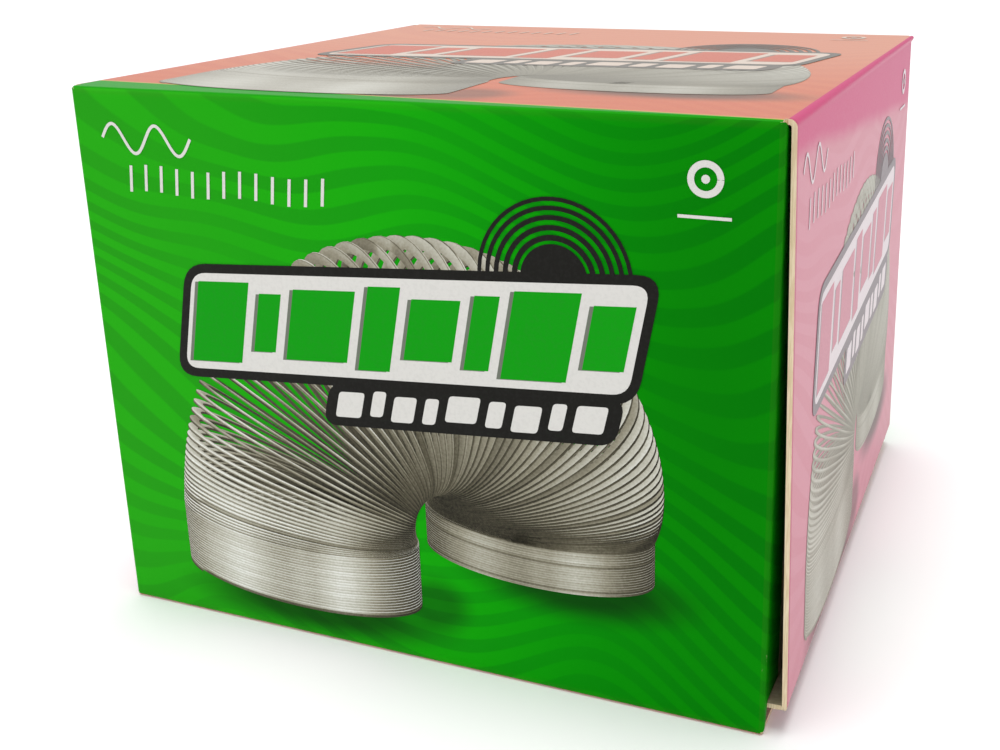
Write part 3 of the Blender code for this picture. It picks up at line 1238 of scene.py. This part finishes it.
        free = corner_s + self.dust_length
        rows = [free - self.dust_corner * (1 - math.sin(k * math.pi / 16)) for k in range(9)]
        rows += [corner_s + heel * k / 6 for k in range(1, 7)]
        rows += [corner_s + self.shoulder_length, corner_s + self.ink_bleed]
        sign = -facing * self.side.value
        board = FoldedBoard(
            path,
            (0.0, path.marks()[-1]),
            edges,
            place,
            print_axes=(0, 1),
            print_origin=(-(z.half_sleeve * 2 - r) if sign > 0 else r, 0.0),
            print_signs=(sign, 1),
            extra_rows=rows,
            printed_until=corner_s + self.ink_bleed,
        ).build(f"{self.side.label}_{place_name}_dust_board", GREEN_BOARD)
        start = Vector(place(*path.at(0.0, 0.0), 0.0))
        end = Vector(place(*path.at(path.marks()[2], 0.0), 0.0))
        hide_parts(node)
        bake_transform(board)
        return board

    def build(self) -> list[bpy.types.Object]:
        """Builds the end's four boards.

        Returns:
            The boards.
        """
        return [
            self.build_closure(),
            self.build_tuck(),
            self.build_dust_flap(-1),
            self.build_dust_flap(1),
        ]


# ---- The print -------------------------------------------------------------------------------
@dataclass
class CoilPicture:
    """The printed picture: a coil toy standing on both ends in an arch, drawn flat.

    The coil is worked out in the round, in units of its own radius, and is then pressed flat on the
    face with its depth kept as microns, so that near turns cover far ones.
    """

    near_radius_mm: float = 15.0
    far_scale: float = 0.83
    foot_mm: tuple[float, float] = (23.75, 6.7)
    far_rise: float = 0.30
    elevation_deg: float = 13.8
    turn_deg: float = 25.5
    hub_gap: float = 0.265
    near_turns: int = 22
    arch_turns: int = 78
    far_turns: int = 17
    pitch: float = 0.0225
    wire_width: float = 0.085
    wire_thickness: float = 0.019
    steps: int = 56
    seed: int = 7

    def frames(self) -> dict[str, np.ndarray]:
        """Where each step of the wire is and how it is turned.

        Returns:
            Arrays by name: centre, out (from hub), along (the coil's axis), angle, share, turn.
        """
        total = self.near_turns + self.arch_turns + self.far_turns
        turn = np.arange(total * self.steps + 1) / self.steps
        rise = np.clip(turn, 0, self.near_turns) * self.pitch
        fall = np.clip(total - turn, 0, self.far_turns) * self.pitch
        share = np.clip((turn - self.near_turns) / self.arch_turns, 0, 1)
        spread = share - 0.74 * np.sin(2 * np.pi * share) / (2 * np.pi)
        tilt = np.pi * spread
        out = np.stack([-np.cos(tilt), np.zeros_like(tilt), np.sin(tilt)], -1)
        along = np.stack([np.sin(tilt), np.zeros_like(tilt), np.cos(tilt)], -1)
        arm = 1 + self.hub_gap
        height = rise * (1 - share) + fall * share
        height = np.where(share <= 0, rise, np.where(share >= 1, fall, height))
        centre = out * arm
        centre[:, 0] += arm
        centre[:, 2] += height
        return {
            "centre": centre,
            "out": out,
            "along": along,
            "angle": 2 * np.pi * turn,
            "share": share,
            "turn": turn,
        }

    def flatten(self, points: np.ndarray, share: np.ndarray) -> tuple[np.ndarray, np.ndarray]:
        """Draws points in the round on the face.

        Args:
            points: Points in coil radii.
            share: How far along the arch each is.

        Returns:
            The places on the face in mm, and how near each point is to the eye.
        """
        lift = math.radians(self.elevation_deg)
        turn = math.radians(self.turn_deg)
        across = points[..., 0] * math.cos(turn) - points[..., 1] * math.sin(turn)
        away = points[..., 0] * math.sin(turn) + points[..., 1] * math.cos(turn)
        up = points[..., 2] * math.cos(lift) + away * math.sin(lift)
        near = points[..., 2] * math.sin(lift) - away * math.cos(lift)
        scale = self.near_radius_mm * (1 - (1 - self.far_scale) * share)
        u = self.foot_mm[0] + across * scale
        v = self.foot_mm[1] + up * scale + self.far_rise * share * self.near_radius_mm
        return np.stack([u, v], -1), near

    def tones(
        self,
        normal: np.ndarray,
        out_angle: np.ndarray,
        depth: np.ndarray,
        share: np.ndarray,
        kind: str,
    ) -> np.ndarray:
        """How light a face of the wire is printed.

        Args:
            normal: The face's direction in the round.
            out_angle: Cosine of the place round the turn, -1 at the hub.
            depth: Sine of the place round the turn, 1 at the back.
            share: How far along the arch.
            kind: rim, flat or inner.

        Returns:
            The tones from 0 to 1.
        """
        turn = math.radians(self.turn_deg)
        right = normal[..., 0] * math.cos(turn) - normal[..., 1] * math.sin(turn)
        up = normal[..., 2]
        far_leg = np.clip((share - 0.35) / 0.3, 0, 1)
        far_arch = (share > 0.5) & (share < 0.995)
        if kind == "rim":
            tone = 0.56 + 0.32 * np.exp(-(((right + 0.52) / 0.24) ** 2))
            tone += 0.34 * np.exp(-(((right - 0.34) / 0.20) ** 2)) * (1 - 0.2 * far_leg)
            tone += 0.10 * np.exp(-(((right + 0.02) / 0.07) ** 2)) + 0.10 * up
            tone -= 0.50 * np.clip(right - 0.55, 0, 1) / 0.45 + 0.2 * np.clip(-right - 0.8, 0, 1) / 0.2
            tone -= 0.22 * far_leg * np.clip(0.2 - right, 0, 1)
            weave = np.sin(9 * np.arctan2(depth, out_angle) + 46 * share)
            weave = np.clip(2 * weave, 0, 1) * np.clip((out_angle - 0.1) / 0.5, 0, 1)
            tone *= np.where(far_arch, 0.48 + 0.42 * weave, 0.95 - 0.11 * far_leg)
        elif kind == "flat":
            tone = 0.66 + 0.26 * up - 0.26 * right + 0.10 * far_arch
        else:
            tone = 0.19 + 0.18 * np.exp(-(((right - 0.25) / 0.3) ** 2)) + 0.08 * up
        in_arch = np.clip(np.sin(np.pi * np.clip(share, 0, 1)) / 0.14, 0, 1)
        hub = np.clip((out_angle + 1.0) / 1.5, 0, 1)
        shade = 1 + in_arch * (0.82 * hub**0.62 - 0.78)
        shade = shade * (1 - 0.30 * in_arch * np.clip(depth, 0, 1))
        return tone * shade

    def quads(self) -> tuple[np.ndarray, np.ndarray, np.ndarray]:
        """The wire's four long sides as flat patches, those that face the eye.

        Returns:
            Places on the face (n, 4, 2), nearness (n, 4) and tone (n, 4).
        """
        f = self.frames()
        cosine, sine = np.cos(f["angle"])[:, None], np.sin(f["angle"])[:, None]
        side = np.array([[0.0, 1.0, 0.0]])
        radial = f["out"] * cosine + side * sine
        half = self.wire_thickness / 2
        inner = 1 - self.wire_width
        corner = {
            "ob": f["centre"] + radial - f["along"] * half,
            "ot": f["centre"] + radial + f["along"] * half,
            "it": f["centre"] + radial * inner + f["along"] * half,
            "ib": f["centre"] + radial * inner - f["along"] * half,
        }
        lift, turn = math.radians(self.elevation_deg), math.radians(self.turn_deg)
        eye = np.array(
            [-math.sin(turn) * math.cos(lift), -math.cos(turn) * math.cos(lift), math.sin(lift)]
        )
        drawn = {name: self.flatten(p, f["share"]) for name, p in corner.items()}
        chance = np.random.default_rng(self.seed)
        turns = np.floor(f["turn"]).astype(int)
        per_turn = 1 + 0.05 * chance.standard_normal(turns.max() + 2)
        per_turn[chance.random(len(per_turn)) < 0.12] *= 0.72
        per_turn[0] *= 0.55
        uneven = per_turn[turns]
        stack = (f["share"] <= 0) | (f["share"] >= 1)
        patches = []
        plan = (
            ("ob", "ot", radial, "rim", 0.38, 1.15),
            ("ot", "it", f["along"], "flat", 1.08, 0.80),
            ("it", "ib", -radial, "inner", 1.0, 0.7),
            ("ib", "ob", -f["along"], "flat", 0.55, 0.7),
        )
        for first, second, normal, kind, first_share, second_share in plan:
            tone = self.tones(normal, cosine[:, 0], sine[:, 0], f["share"], kind) * uneven
            faces_eye = normal @ eye > 0
            low = tone * np.where(stack & (kind == "rim"), 0.88, first_share)
            high = tone * second_share
            (p0, n0), (p1, n1) = drawn[first], drawn[second]
            keep = faces_eye[:-1] | faces_eye[1:]
            places = np.stack([p0[:-1], p0[1:], p1[1:], p1[:-1]], 1)[keep]
            nearness = np.stack([n0[:-1], n0[1:], n1[1:], n1[:-1]], 1)[keep]
            shades = np.stack([low[:-1], low[1:], high[1:], high[:-1]], 1)[keep]
            patches.append((places, nearness, shades))
        places, nearness, shades = (np.concatenate(x) for x in zip(*patches))
        return places, nearness, np.clip(shades, 0.02, 1.0)


@dataclass
class PrintLayer:
    """Shapes of one ink at one height over the board."""

    finish: Finish
    lift_mm: float
    shapes: list[list[tuple[float, float]]] = field(default_factory=list)


def stroke(points: Sequence[tuple[float, float]], width: float) -> list[list[tuple[float, float]]]:
    """Turns a line into four-sided shapes of one width.

    Args:
        points: The line's points.
        width: The line's width.

    Returns:
        The shapes.
    """
    left, right = [], []
    for i, (x, y) in enumerate(points):
        before, after = points[max(0, i - 1)], points[min(len(points) - 1, i + 1)]
        dx, dy = after[0] - before[0], after[1] - before[1]
        size = math.hypot(dx, dy) or 1.0
        left.append((x - dy / size * width / 2, y + dx / size * width / 2))
        right.append((x + dy / size * width / 2, y - dx / size * width / 2))
    return [
        [right[i], right[i + 1], left[i + 1], left[i]] for i in range(len(points) - 1)
    ]


def rounded(
    corners: Sequence[tuple[float, float]], radius: float, steps: int = 6
) -> list[tuple[float, float]]:
    """Rounds a shape's corners.

    Args:
        corners: The corners, anticlockwise.
        radius: How far from each corner the round starts.
        steps: Points in each round.

    Returns:
        The rounded outline.
    """
    made = []
    count = len(corners)
    for i, corner in enumerate(corners):
        here = Vector(corner)
        back = (Vector(corners[i - 1]) - here).normalized() * radius
        on = (Vector(corners[(i + 1) % count]) - here).normalized() * radius
        for k in range(steps + 1):
            t = k / steps
            made.append(tuple(here + back * (1 - t) ** 2 + on * t**2))
    return made


def round_line(x: float, y: float, radius: float, steps: int) -> list[tuple[float, float]]:
    """A circle's points in mm, from the right round to the right again."""
    angles = np.linspace(0, 2 * math.pi, steps + 1)
    return [(x + radius * math.cos(a), y + radius * math.sin(a)) for a in angles]


@dataclass
class Plaque:
    """A slanted plaque of plain bars in place of a title, and a smaller one of dashes below it."""

    left: float = 12.2
    right: float = 61.2
    low: float = 31.1
    high: float = 40.0
    tilt: float = 0.070
    lean: float = 0.20

    def at(self, along: float, up: float) -> tuple[float, float]:
        """A point on the plaque, from 0 to 1 along it and up it."""
        width, height = self.right - self.left, self.high - self.low
        x = self.left + along * width + up * height * self.lean
        return x, self.low + up * height + (x - self.left) * self.tilt

    def bar(self, start: float, end: float, low: float, high: float) -> list[tuple[float, float]]:
        """The corners of one slanted bar, anticlockwise."""
        return [self.at(start, low), self.at(end, low), self.at(end, high), self.at(start, high)]

    def panel(self, grow: float) -> list[tuple[float, float]]:
        """The plaque's outline, larger by grow mm all round."""
        sideways = grow / (self.right - self.left)
        upward = grow / (self.high - self.low)
        corners = self.bar(-sideways, 1 + sideways, -upward, 1 + upward)
        return rounded(corners, 0.9 + grow * 0.9)

    def bars(self) -> list[tuple[float, float, float, float]]:
        """The bars as along and up ranges, in a plain rising and falling rhythm."""
        shares = (0.13, 0.055, 0.15, 0.075, 0.11, 0.055, 0.14, 0.085)
        gap = (1 - sum(shares)) / (len(shares) - 1)
        made, x = [], 0.0
        for index, share in enumerate(shares):
            dip = 0.13 * ((index * 2) % 3)
            made.append((x, x + share, dip * 0.6, 1.0 - dip * 0.5))
            x += share + gap
        return made

    def layers(self, inks: Inks) -> list[PrintLayer]:
        """All of the plaque's inks, from the bottom up.

        Args:
            inks: The face's inks.

        Returns:
            The layers.
        """
        black = PrintLayer(inks.black, 0.052, [self.panel(1.9)])
        white = PrintLayer(inks.white, 0.056, [self.panel(0.9)])
        grey = PrintLayer(inks.grey, 0.060)
        bars = PrintLayer(inks.bars, 0.064)
        for x0, x1, y0, y1 in self.bars():
            corners = self.bar(x0, x1, y0, y1)
            bars.shapes.append(corners)
            grey.shapes.append([(x - 0.42, y - 0.10) for x, y in corners])
        ribbon = Plaque(29.4, 59.8, 27.0, 29.8, 0.074, 0.24)
        under = PrintLayer(inks.black, 0.053, [ribbon.panel(1.0)])
        dashes = PrintLayer(inks.white, 0.058)
        x = 0.01
        for k, share in enumerate((0.10, 0.05, 0.085, 0.05, 0.115, 0.06, 0.095, 0.05, 0.105)):
            hop = 0.10 * math.sin(k * 1.9)
            dashes.shapes.append(rounded(ribbon.bar(x, x + share, hop, 1 + hop), 0.4, 3))
            x += share + 0.033
        return [black, under, white, dashes, grey, bars]


@dataclass
class PrintedFace:
    """All the ink of one face: the coil picture, the plaque and the small marks."""

    face: Face
    place: Place
    body: str
    slot: str
    inks: Inks
    scale: float = 1.0
    shift: tuple[float, float] = (0.0, 0.0)
    marks_up: float = 0.0

    def spread(self, point: Sequence[float]) -> tuple[float, float]:
        """Puts a point of the common art on this face."""
        x, y = point
        return float(x) * self.scale + self.shift[0], float(y) * self.scale + self.shift[1]

    def rings(self) -> PrintLayer:
        """Half rings over the plaque, like a coil seen end-on."""
        layer = PrintLayer(self.inks.black, 0.050)
        x, y = 54.6, 44.2
        angles = [math.radians(-12 + 204 * k / 28) for k in range(29)]
        disc, rings = (1.7, 3.4), ((4.0, 0.55), (4.95, 0.52), (5.9, 0.48), (6.8, 0.44), (7.65, 0.4))
        for radius, width in (disc, *rings):
            line = [(x + radius * math.cos(a), y + radius * math.sin(a)) for a in angles]
            layer.shapes += stroke(line, width)
        return layer

    def marks(self) -> PrintLayer:
        """Small plain marks: a wave over a row of dashes, a ring with a dot, and a thin line."""
        layer = PrintLayer(self.inks.white, 0.050)
        wave = [(3.6 + 0.14 * k, 54.8 + 1.5 * math.sin(k * 0.16)) for k in range(81)]
        layer.shapes += stroke(wave, 0.34)
        for k in range(13):
            x, rise = 6.4 + 1.95 * k, 0.2 * math.sin(k * 1.1)
            low, high = 49.2 + rise, 52.0 + rise
            layer.shapes.append([(x, low), (x + 0.36, low), (x + 0.66, high), (x + 0.30, high)])
        layer.shapes += stroke(round_line(69.0, 54.6, 1.35, 32), 0.62)
        layer.shapes.append(round_line(69.0, 54.6, 0.4, 12)[:-1])
        layer.shapes += stroke([(66.5, 51.2), (71.4, 51.2)], 0.3)
        return layer

    def build(self, picture: tuple[np.ndarray, np.ndarray, np.ndarray]) -> bpy.types.Object:
        """Builds the face's print as one object.

        Args:
            picture: The coil picture's patches.

        Returns:
            The print.
        """
        places, nearness, tones = picture
        spread = (nearness - nearness.min()) / (nearness.max() - nearness.min())
        flat = [self.spread(p) for p in places.reshape(-1, 2)]
        lifts = list((0.012 + 0.034 * spread).ravel())
        tone = list(tones.ravel())
        faces = [tuple(range(4 * i, 4 * i + 4)) for i in range(len(places))]
        kinds = [0] * len(faces)
        finishes: list[Finish] = [self.inks.picture]
        marks = self.marks()
        for layer in [*Plaque().layers(self.inks), self.rings(), marks]:
            if layer.finish not in finishes:
                finishes.append(layer.finish)
            for shape in layer.shapes:
                faces.append(tuple(range(len(flat), len(flat) + len(shape))))
                kinds.append(finishes.index(layer.finish))
                if layer is marks:
                    flat += [(x, y + self.marks_up) for x, y in shape]
                else:
                    flat += [self.spread(p) for p in shape]
                lifts += [layer.lift_mm] * len(shape)
                tone += [0.5] * len(shape)
        points = [self.place(x * MM, y * MM, lift * MM) for (x, y), lift in zip(flat, lifts)]
        outward = Vector(self.place(0, 0, 1)) - Vector(self.place(0, 0, 0))
        faces = [
            f if self.facing(points, f).dot(outward) > 0 else tuple(reversed(f)) for f in faces
        ]
        made = make_object(f"{self.face.value}_print", points, faces, finishes, kinds)
        set_attribute(made, TONE, "FLOAT", np.array(tone))
        flat_places = np.array([(x, y, 0.0) for x, y in flat])
        set_attribute(made, PRINT_PLACE, "FLOAT_VECTOR", flat_places)
        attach(made, self.body)
        return made

    @staticmethod
    def facing(points: Sequence[tuple[float, float, float]], face: Sequence[int]) -> Vector:
        """The direction that a face's corners give it."""
        corners = [Vector(points[i]) for i in face]
        total = Vector((0.0, 0.0, 0.0))
        for here, following in zip(corners, corners[1:] + corners[:1]):
            total += (here - corners[0]).cross(following - corners[0])
        return total


@dataclass
class CartonPrint:
    """The print on the carton's six faces."""

    sizes: CartonSizes

    def build(self) -> list[bpy.types.Object]:
        """Builds the six prints.

        Returns:
            The prints.
        """
        z = self.sizes
        picture = CoilPicture().quads()
        lean = {side: math.radians(z.spring_deg[side]) for side in Side}

        def on_end(side: Side) -> Place:
            sign, angle = side.value, lean[side]

            def place(u: float, v: float, lift: float) -> tuple[float, float, float]:
                drop = z.height - v
                out = z.half_width + drop * math.sin(angle) + lift * math.cos(angle)
                up = z.height - drop * math.cos(angle) + lift * math.sin(angle)
                y = sign * (u - z.half_depth)
                return sign * (out - z.held_in(side, y, up)), y, up

            return place

        green = ("sleeve", "green_print", GREEN_INKS)
        orange = ("sleeve", "orange_print", ORANGE_INKS, TOP_SCALE, TOP_SHIFT_MM, MARKS_UP_MM)
        right = ("right_closure", "pink_print", PINK_INKS)
        left = ("left_closure", "pink_print", PINK_INKS)
        rows: tuple[tuple[Face, Place, tuple[Any, ...]], ...] = (
            (Face.FRONT, lambda u, v, d: (u - z.half_sleeve, -z.half_depth - d, v), green),
            (Face.BACK, lambda u, v, d: (z.half_sleeve - u, z.half_depth + d, v), green),
            (Face.TOP, lambda u, v, d: (u - z.half_sleeve, v - z.half_depth, z.height + d), orange),
            (Face.BOTTOM, lambda u, v, d: (u - z.half_sleeve, z.half_depth - v, -d), orange),
            (Face.RIGHT, on_end(Side.RIGHT), right),
            (Face.LEFT, on_end(Side.LEFT), left),
        )
        return [PrintedFace(face, place, *rest).build(picture) for face, place, rest in rows]


# ---- The coil toy ----------------------------------------------------------------------------
@dataclass
class FlatWireCoil:
    """The steel coil, made by one tree of nodes for its three stretches."""

    outside: float = 34.5 * MM
    width: float = 2.6 * MM
    thickness: float = 0.70 * MM
    pitch: float = 0.75 * MM
    corner: float = 0.18 * MM
    steps: int = 64
    end_turns: int = 30
    middle_turns: int = 8

    def tree(self) -> bpy.types.GeometryNodeTree:
        """Makes the tree that winds a flat wire into a helix.

        Returns:
            The tree.
        """
        tree = bpy.data.node_groups.new("wind_flat_wire", "GeometryNodeTree")
        for name, kind in (
            ("Turns", "NodeSocketFloat"),
            ("Steps", "NodeSocketInt"),
            ("Radius", "NodeSocketFloat"),
            ("Rise", "NodeSocketFloat"),
            ("Base", "NodeSocketVector"),
            ("Start", "NodeSocketVector"),
            ("Width", "NodeSocketFloat"),
            ("Thickness", "NodeSocketFloat"),
            ("Corner", "NodeSocketFloat"),
            ("Material", "NodeSocketMaterial"),
        ):
            tree.interface.new_socket(name, in_out="INPUT", socket_type=kind)
        tree.interface.new_socket("Geometry", in_out="OUTPUT", socket_type="NodeSocketGeometry")
        given = tree.nodes.new("NodeGroupInput").outputs
        spiral = add_node(
            tree,
            "GeometryNodeCurveSpiral",
            None,
            {
                "Resolution": given["Steps"],
                "Rotations": given["Turns"],
                "Start Radius": given["Radius"],
                "End Radius": given["Radius"],
                "Height": given["Rise"],
            },
        )
        placed = add_node(
            tree,
            "GeometryNodeTransform",
            None,
            {"Geometry": spiral.outputs[0], "Translation": given["Base"], "Rotation": given["Start"]},
        )
        upright = add_node(
            tree, "GeometryNodeSetCurveNormal", {"mode": "Z_UP"}, {"Curve": placed.outputs[0]}
        )
        wire = add_node(
            tree,
            "GeometryNodeCurvePrimitiveQuadrilateral",
            None,
            {"Width": given["Width"], "Height": given["Thickness"]},
        )
        rounded_wire = add_node(
            tree,
            "GeometryNodeFilletCurve",
            None,
            {"Curve": wire.outputs[0], "Radius": given["Corner"]},
        )
        swept = add_node(
            tree,
            "GeometryNodeCurveToMesh",
            None,
            {"Curve": upright.outputs[0], "Profile Curve": rounded_wire.outputs[0], "Fill Caps": True},
        )
        real = add_node(tree, "GeometryNodeRealizeInstances", None, {0: swept.outputs[0]})
        dressed = add_node(
            tree,
            "GeometryNodeSetMaterial",
            None,
            {"Geometry": real.outputs[0], "Material": given["Material"]},
        )
        add_node(tree, "NodeGroupOutput", None, {0: dressed.outputs[0]})
        return tree

    def wind(
        self, tree: bpy.types.GeometryNodeTree, name: str, first: float, last: float, base: float
    ) -> bpy.types.Object:
        """Winds one stretch of the wire as a plain mesh.

        Args:
            tree: The winding tree.
            name: The piece's name.
            first: The turn at which it starts.
            last: The turn at which it ends.
            base: The height of the wire's middle at turn 0.

        Returns:
            The stretch.
        """
        carrier = bpy.data.objects.new(f"{name}_carrier", bpy.data.meshes.new(f"{name}_carrier"))
        bpy.context.scene.collection.objects.link(carrier)
        modifier = carrier.modifiers.new("wind", "NODES")
        modifier.node_group = tree
        values = {
            "Turns": float(last - first),
            "Steps": self.steps,
            "Radius": self.outside - self.width / 2,
            "Rise": (last - first) * self.pitch,
            "Base": (0.0, 0.0, base + first * self.pitch),
            "Start": (0.0, 0.0, 2 * math.pi * first),
            "Width": self.width,
            "Thickness": self.thickness,
            "Corner": self.corner,
            "Material": SPRING_STEEL.material(),
        }
        for item in tree.interface.items_tree:
            if item.in_out == "INPUT":
                modifier[item.identifier] = values[item.name]
        bpy.context.view_layer.update()
        evaluated = carrier.evaluated_get(bpy.context.evaluated_depsgraph_get())
        mesh = bpy.data.meshes.new_from_object(evaluated)
        bpy.data.objects.remove(carrier)
        mesh.name = name
        mesh.shade_smooth()
        mesh.set_sharp_from_angle(angle=math.radians(50))
        made = bpy.data.objects.new(name, mesh)
        bpy.context.scene.collection.objects.link(made)
        return made

    def build(self) -> list[bpy.types.Object]:
        """Winds the lower, middle and upper stretches.

        Returns:
            The three stretches.
        """
        tree = self.tree()
        lowest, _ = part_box("coil_lower_turns")
        base = lowest.z + 0.3 * MM
        low_end = float(self.end_turns)
        high_start = low_end + self.middle_turns
        total = high_start + self.end_turns
        lower = self.wind(tree, "coil_lower_wire", 0.0, low_end, base)
        middle = self.wind(tree, "coil_middle_wire", low_end, high_start, base)
        upper = self.wind(tree, "coil_upper_wire", high_start, total, base)
        for piece, node in (
            (lower, "coil_lower_turns"),
            (middle, "coil_middle_turns"),
            (upper, "coil_upper_turns"),
        ):
            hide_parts(node)
        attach(lower, "coil_lower")
        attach(upper, "coil_upper")
        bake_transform(middle)
        return [lower, middle, upper]


@dataclass
class EndClip:
    """A U of plated sheet crimped over the wire's end, with rounded bends and two press marks."""

    node: str
    body: str
    angle_deg: float
    up: int
    radius: float = 33.2 * MM
    wall: float = 0.4 * MM
    inside: float = 1.42 * MM
    leg: float = 1.4 * MM
    drop: float = 0.15 * MM
    length: float = 5.0 * MM

    def profile(self) -> list[tuple[float, float]]:
        """The U's outline across the wire, anticlockwise."""
        out = self.inside + self.wall
        base = -self.drop - self.wall
        bend = 0.35 * MM
        outline: list[tuple[float, float]] = []
        for cx, start in ((out - bend, 270), (-out + bend, 180)):
            for k in range(5):
                a = math.radians(start + 22.5 * k)
                outline.append((cx + bend * math.cos(a), base + bend + bend * math.sin(a)))
        right, left = outline[:5], outline[5:]
        inner = [(self.inside, self.leg), (self.inside, -self.drop)]
        inner += [(-x, h) for x, h in reversed(inner)]
        return [*left, *right, (out, self.leg), *inner, (-out, self.leg)]

    def build(self, wire_face: float) -> bpy.types.Object:
        """Sweeps the U along the wire.

        Args:
            wire_face: The height of the wire's end face that the clip wraps.

        Returns:
            The clip.
        """
        profile = self.profile()
        steps = 12
        points = []
        for k in range(steps + 1):
            along = (k / steps - 0.5) * self.length
            angle = math.radians(self.angle_deg) + along / self.radius
            pinch = 1 - 0.05 * math.exp(-(((abs(along) - 1.1 * MM) / (0.35 * MM)) ** 2))
            for r, h in profile:
                reach = self.radius + r * (pinch if h > 0 else 1)
                points.append((reach * math.cos(angle), reach * math.sin(angle), wire_face + self.up * h))
        count = len(profile)
        faces = []
        for k in range(steps):
            for j in range(count):
                m = (j + 1) % count
                quad = (k * count + j, k * count + m, (k + 1) * count + m, (k + 1) * count + j)
                faces.append(quad if self.up < 0 else tuple(reversed(quad)))
        start = tuple(range(count))
        end = tuple(range(steps * count, (steps + 1) * count))
        faces.append(start if self.up > 0 else tuple(reversed(start)))
        faces.append(tuple(reversed(end)) if self.up > 0 else end)
        clip = make_object(f"{self.node}_sheet", points, faces, (CLIP_STEEL,), None, 35)
        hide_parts(self.node)
        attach(clip, self.body)
        return clip


# ---- Studio ----------------------------------------------------------------------------------
@dataclass
class Studio:
    """The camera, the pale table and soft lights."""

    eye: tuple[float, float, float] = (0.0607, -0.14056, 0.0768)
    right: tuple[float, float, float] = (0.92818, 0.37191, -0.01268)
    up: tuple[float, float, float] = (-0.10054, 0.28345, 0.95370)
    lens: float = 45.21
    shift: tuple[float, float] = (-0.0781, -0.0691)

    def build_camera(self) -> None:
        """Sets the camera at the product's own viewing angle."""
        data = bpy.data.cameras.new("camera")
        data.sensor_width = 36.0
        data.lens = self.lens
        data.shift_x, data.shift_y = self.shift
        data.clip_start = 0.005
        data.clip_end = 50.0
        camera = bpy.data.objects.new("camera", data)
        right, up = Vector(self.right).normalized(), Vector(self.up)
        back = right.cross(up).normalized()
        up = back.cross(right)
        turn = Matrix((right, up, back)).transposed().to_4x4()
        camera.matrix_world = Matrix.Translation(self.eye) @ turn
        bpy.context.scene.collection.objects.link(camera)
        bpy.context.scene.camera = camera

    def build_floor(self) -> None:
        """Lays the table under the carton."""
        half, z = 6.0, -0.02 * MM
        points = [(-half, -half, z), (half, -half, z), (half, half, z), (-half, half, z)]
        floor = make_object("table", points, [(0, 1, 2, 3)], (FLOOR,))

    def add_light(
        self, name: str, place: Sequence[float], aim: Sequence[float], side: float, power: float
    ) -> None:
        """Adds a soft square light.

        Args:
            name: The light's name.
            place: Where it is.
            aim: The point that it faces.
            side: Its width and height.
            power: Its power in watts.
        """
        data = bpy.data.lights.new(name, "AREA")
        data.shape = "RECTANGLE"
        data.size = data.size_y = side
        data.energy = power
        light = bpy.data.objects.new(name, data)
        direction = Vector(aim) - Vector(place)
        turn = direction.to_track_quat("-Z", "Y").to_matrix().to_4x4()
        light.matrix_world = Matrix.Translation(place) @ turn
        bpy.context.scene.collection.objects.link(light)

    def build_lights(self) -> None:
        """Hangs the lights and sets the room's own light."""
        world = bpy.data.worlds.new("studio")
        world.use_nodes = True
        background = world.node_tree.nodes["Background"]
        background.inputs["Color"].default_value = linear("#ffffff")
        background.inputs["Strength"].default_value = 0.68
        bpy.context.scene.world = world
        sun = bpy.data.lights.new("ceiling", "SUN")
        sun.energy = 1.75
        sun.angle = math.radians(28)
        bpy.context.scene.collection.objects.link(bpy.data.objects.new("ceiling", sun))
        self.add_light("left_front", (-0.32, -0.36, 0.22), (-0.01, 0, 0.03), 0.32, 0.40)

    def build(self) -> None:
        """Builds the whole studio."""
        self.build_camera()
        self.build_floor()
        self.build_lights()
        bpy.context.scene.view_settings.view_transform = "Standard"


def report(title: str, pieces: Sequence[bpy.types.Object]) -> None:
    """Logs each piece of a sub-assembly with its face count."""
    for piece in pieces:
        log.info("%s: %s, %d faces", title, piece.name, len(piece.data.polygons))


def main() -> None:
    """Builds every sub-assembly in order."""
    logging.basicConfig(level=logging.INFO, format="%(message)s")
    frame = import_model()
    sizes = CartonSizes.from_frame(frame["joints"])
    report("sleeve", Sleeve(sizes).build())
    for side in Side:
        report(f"{side.label} end", CartonEnd(sizes, side).build())
    report("print", CartonPrint(sizes).build())
    coil = FlatWireCoil()
    report("coil", coil.build())
    lower_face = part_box("coil_lower_turns")[0].z
    upper_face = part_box("coil_upper_turns")[1].z
    clips = (
        EndClip("lower_end_clip", "coil_lower", 11.25, 1).build(lower_face),
        EndClip("upper_end_clip", "coil_upper", -11.25, -1).build(upper_face),
    )
    report("clips", clips)
    Studio().build()


if __name__ == "__main__":
    main()
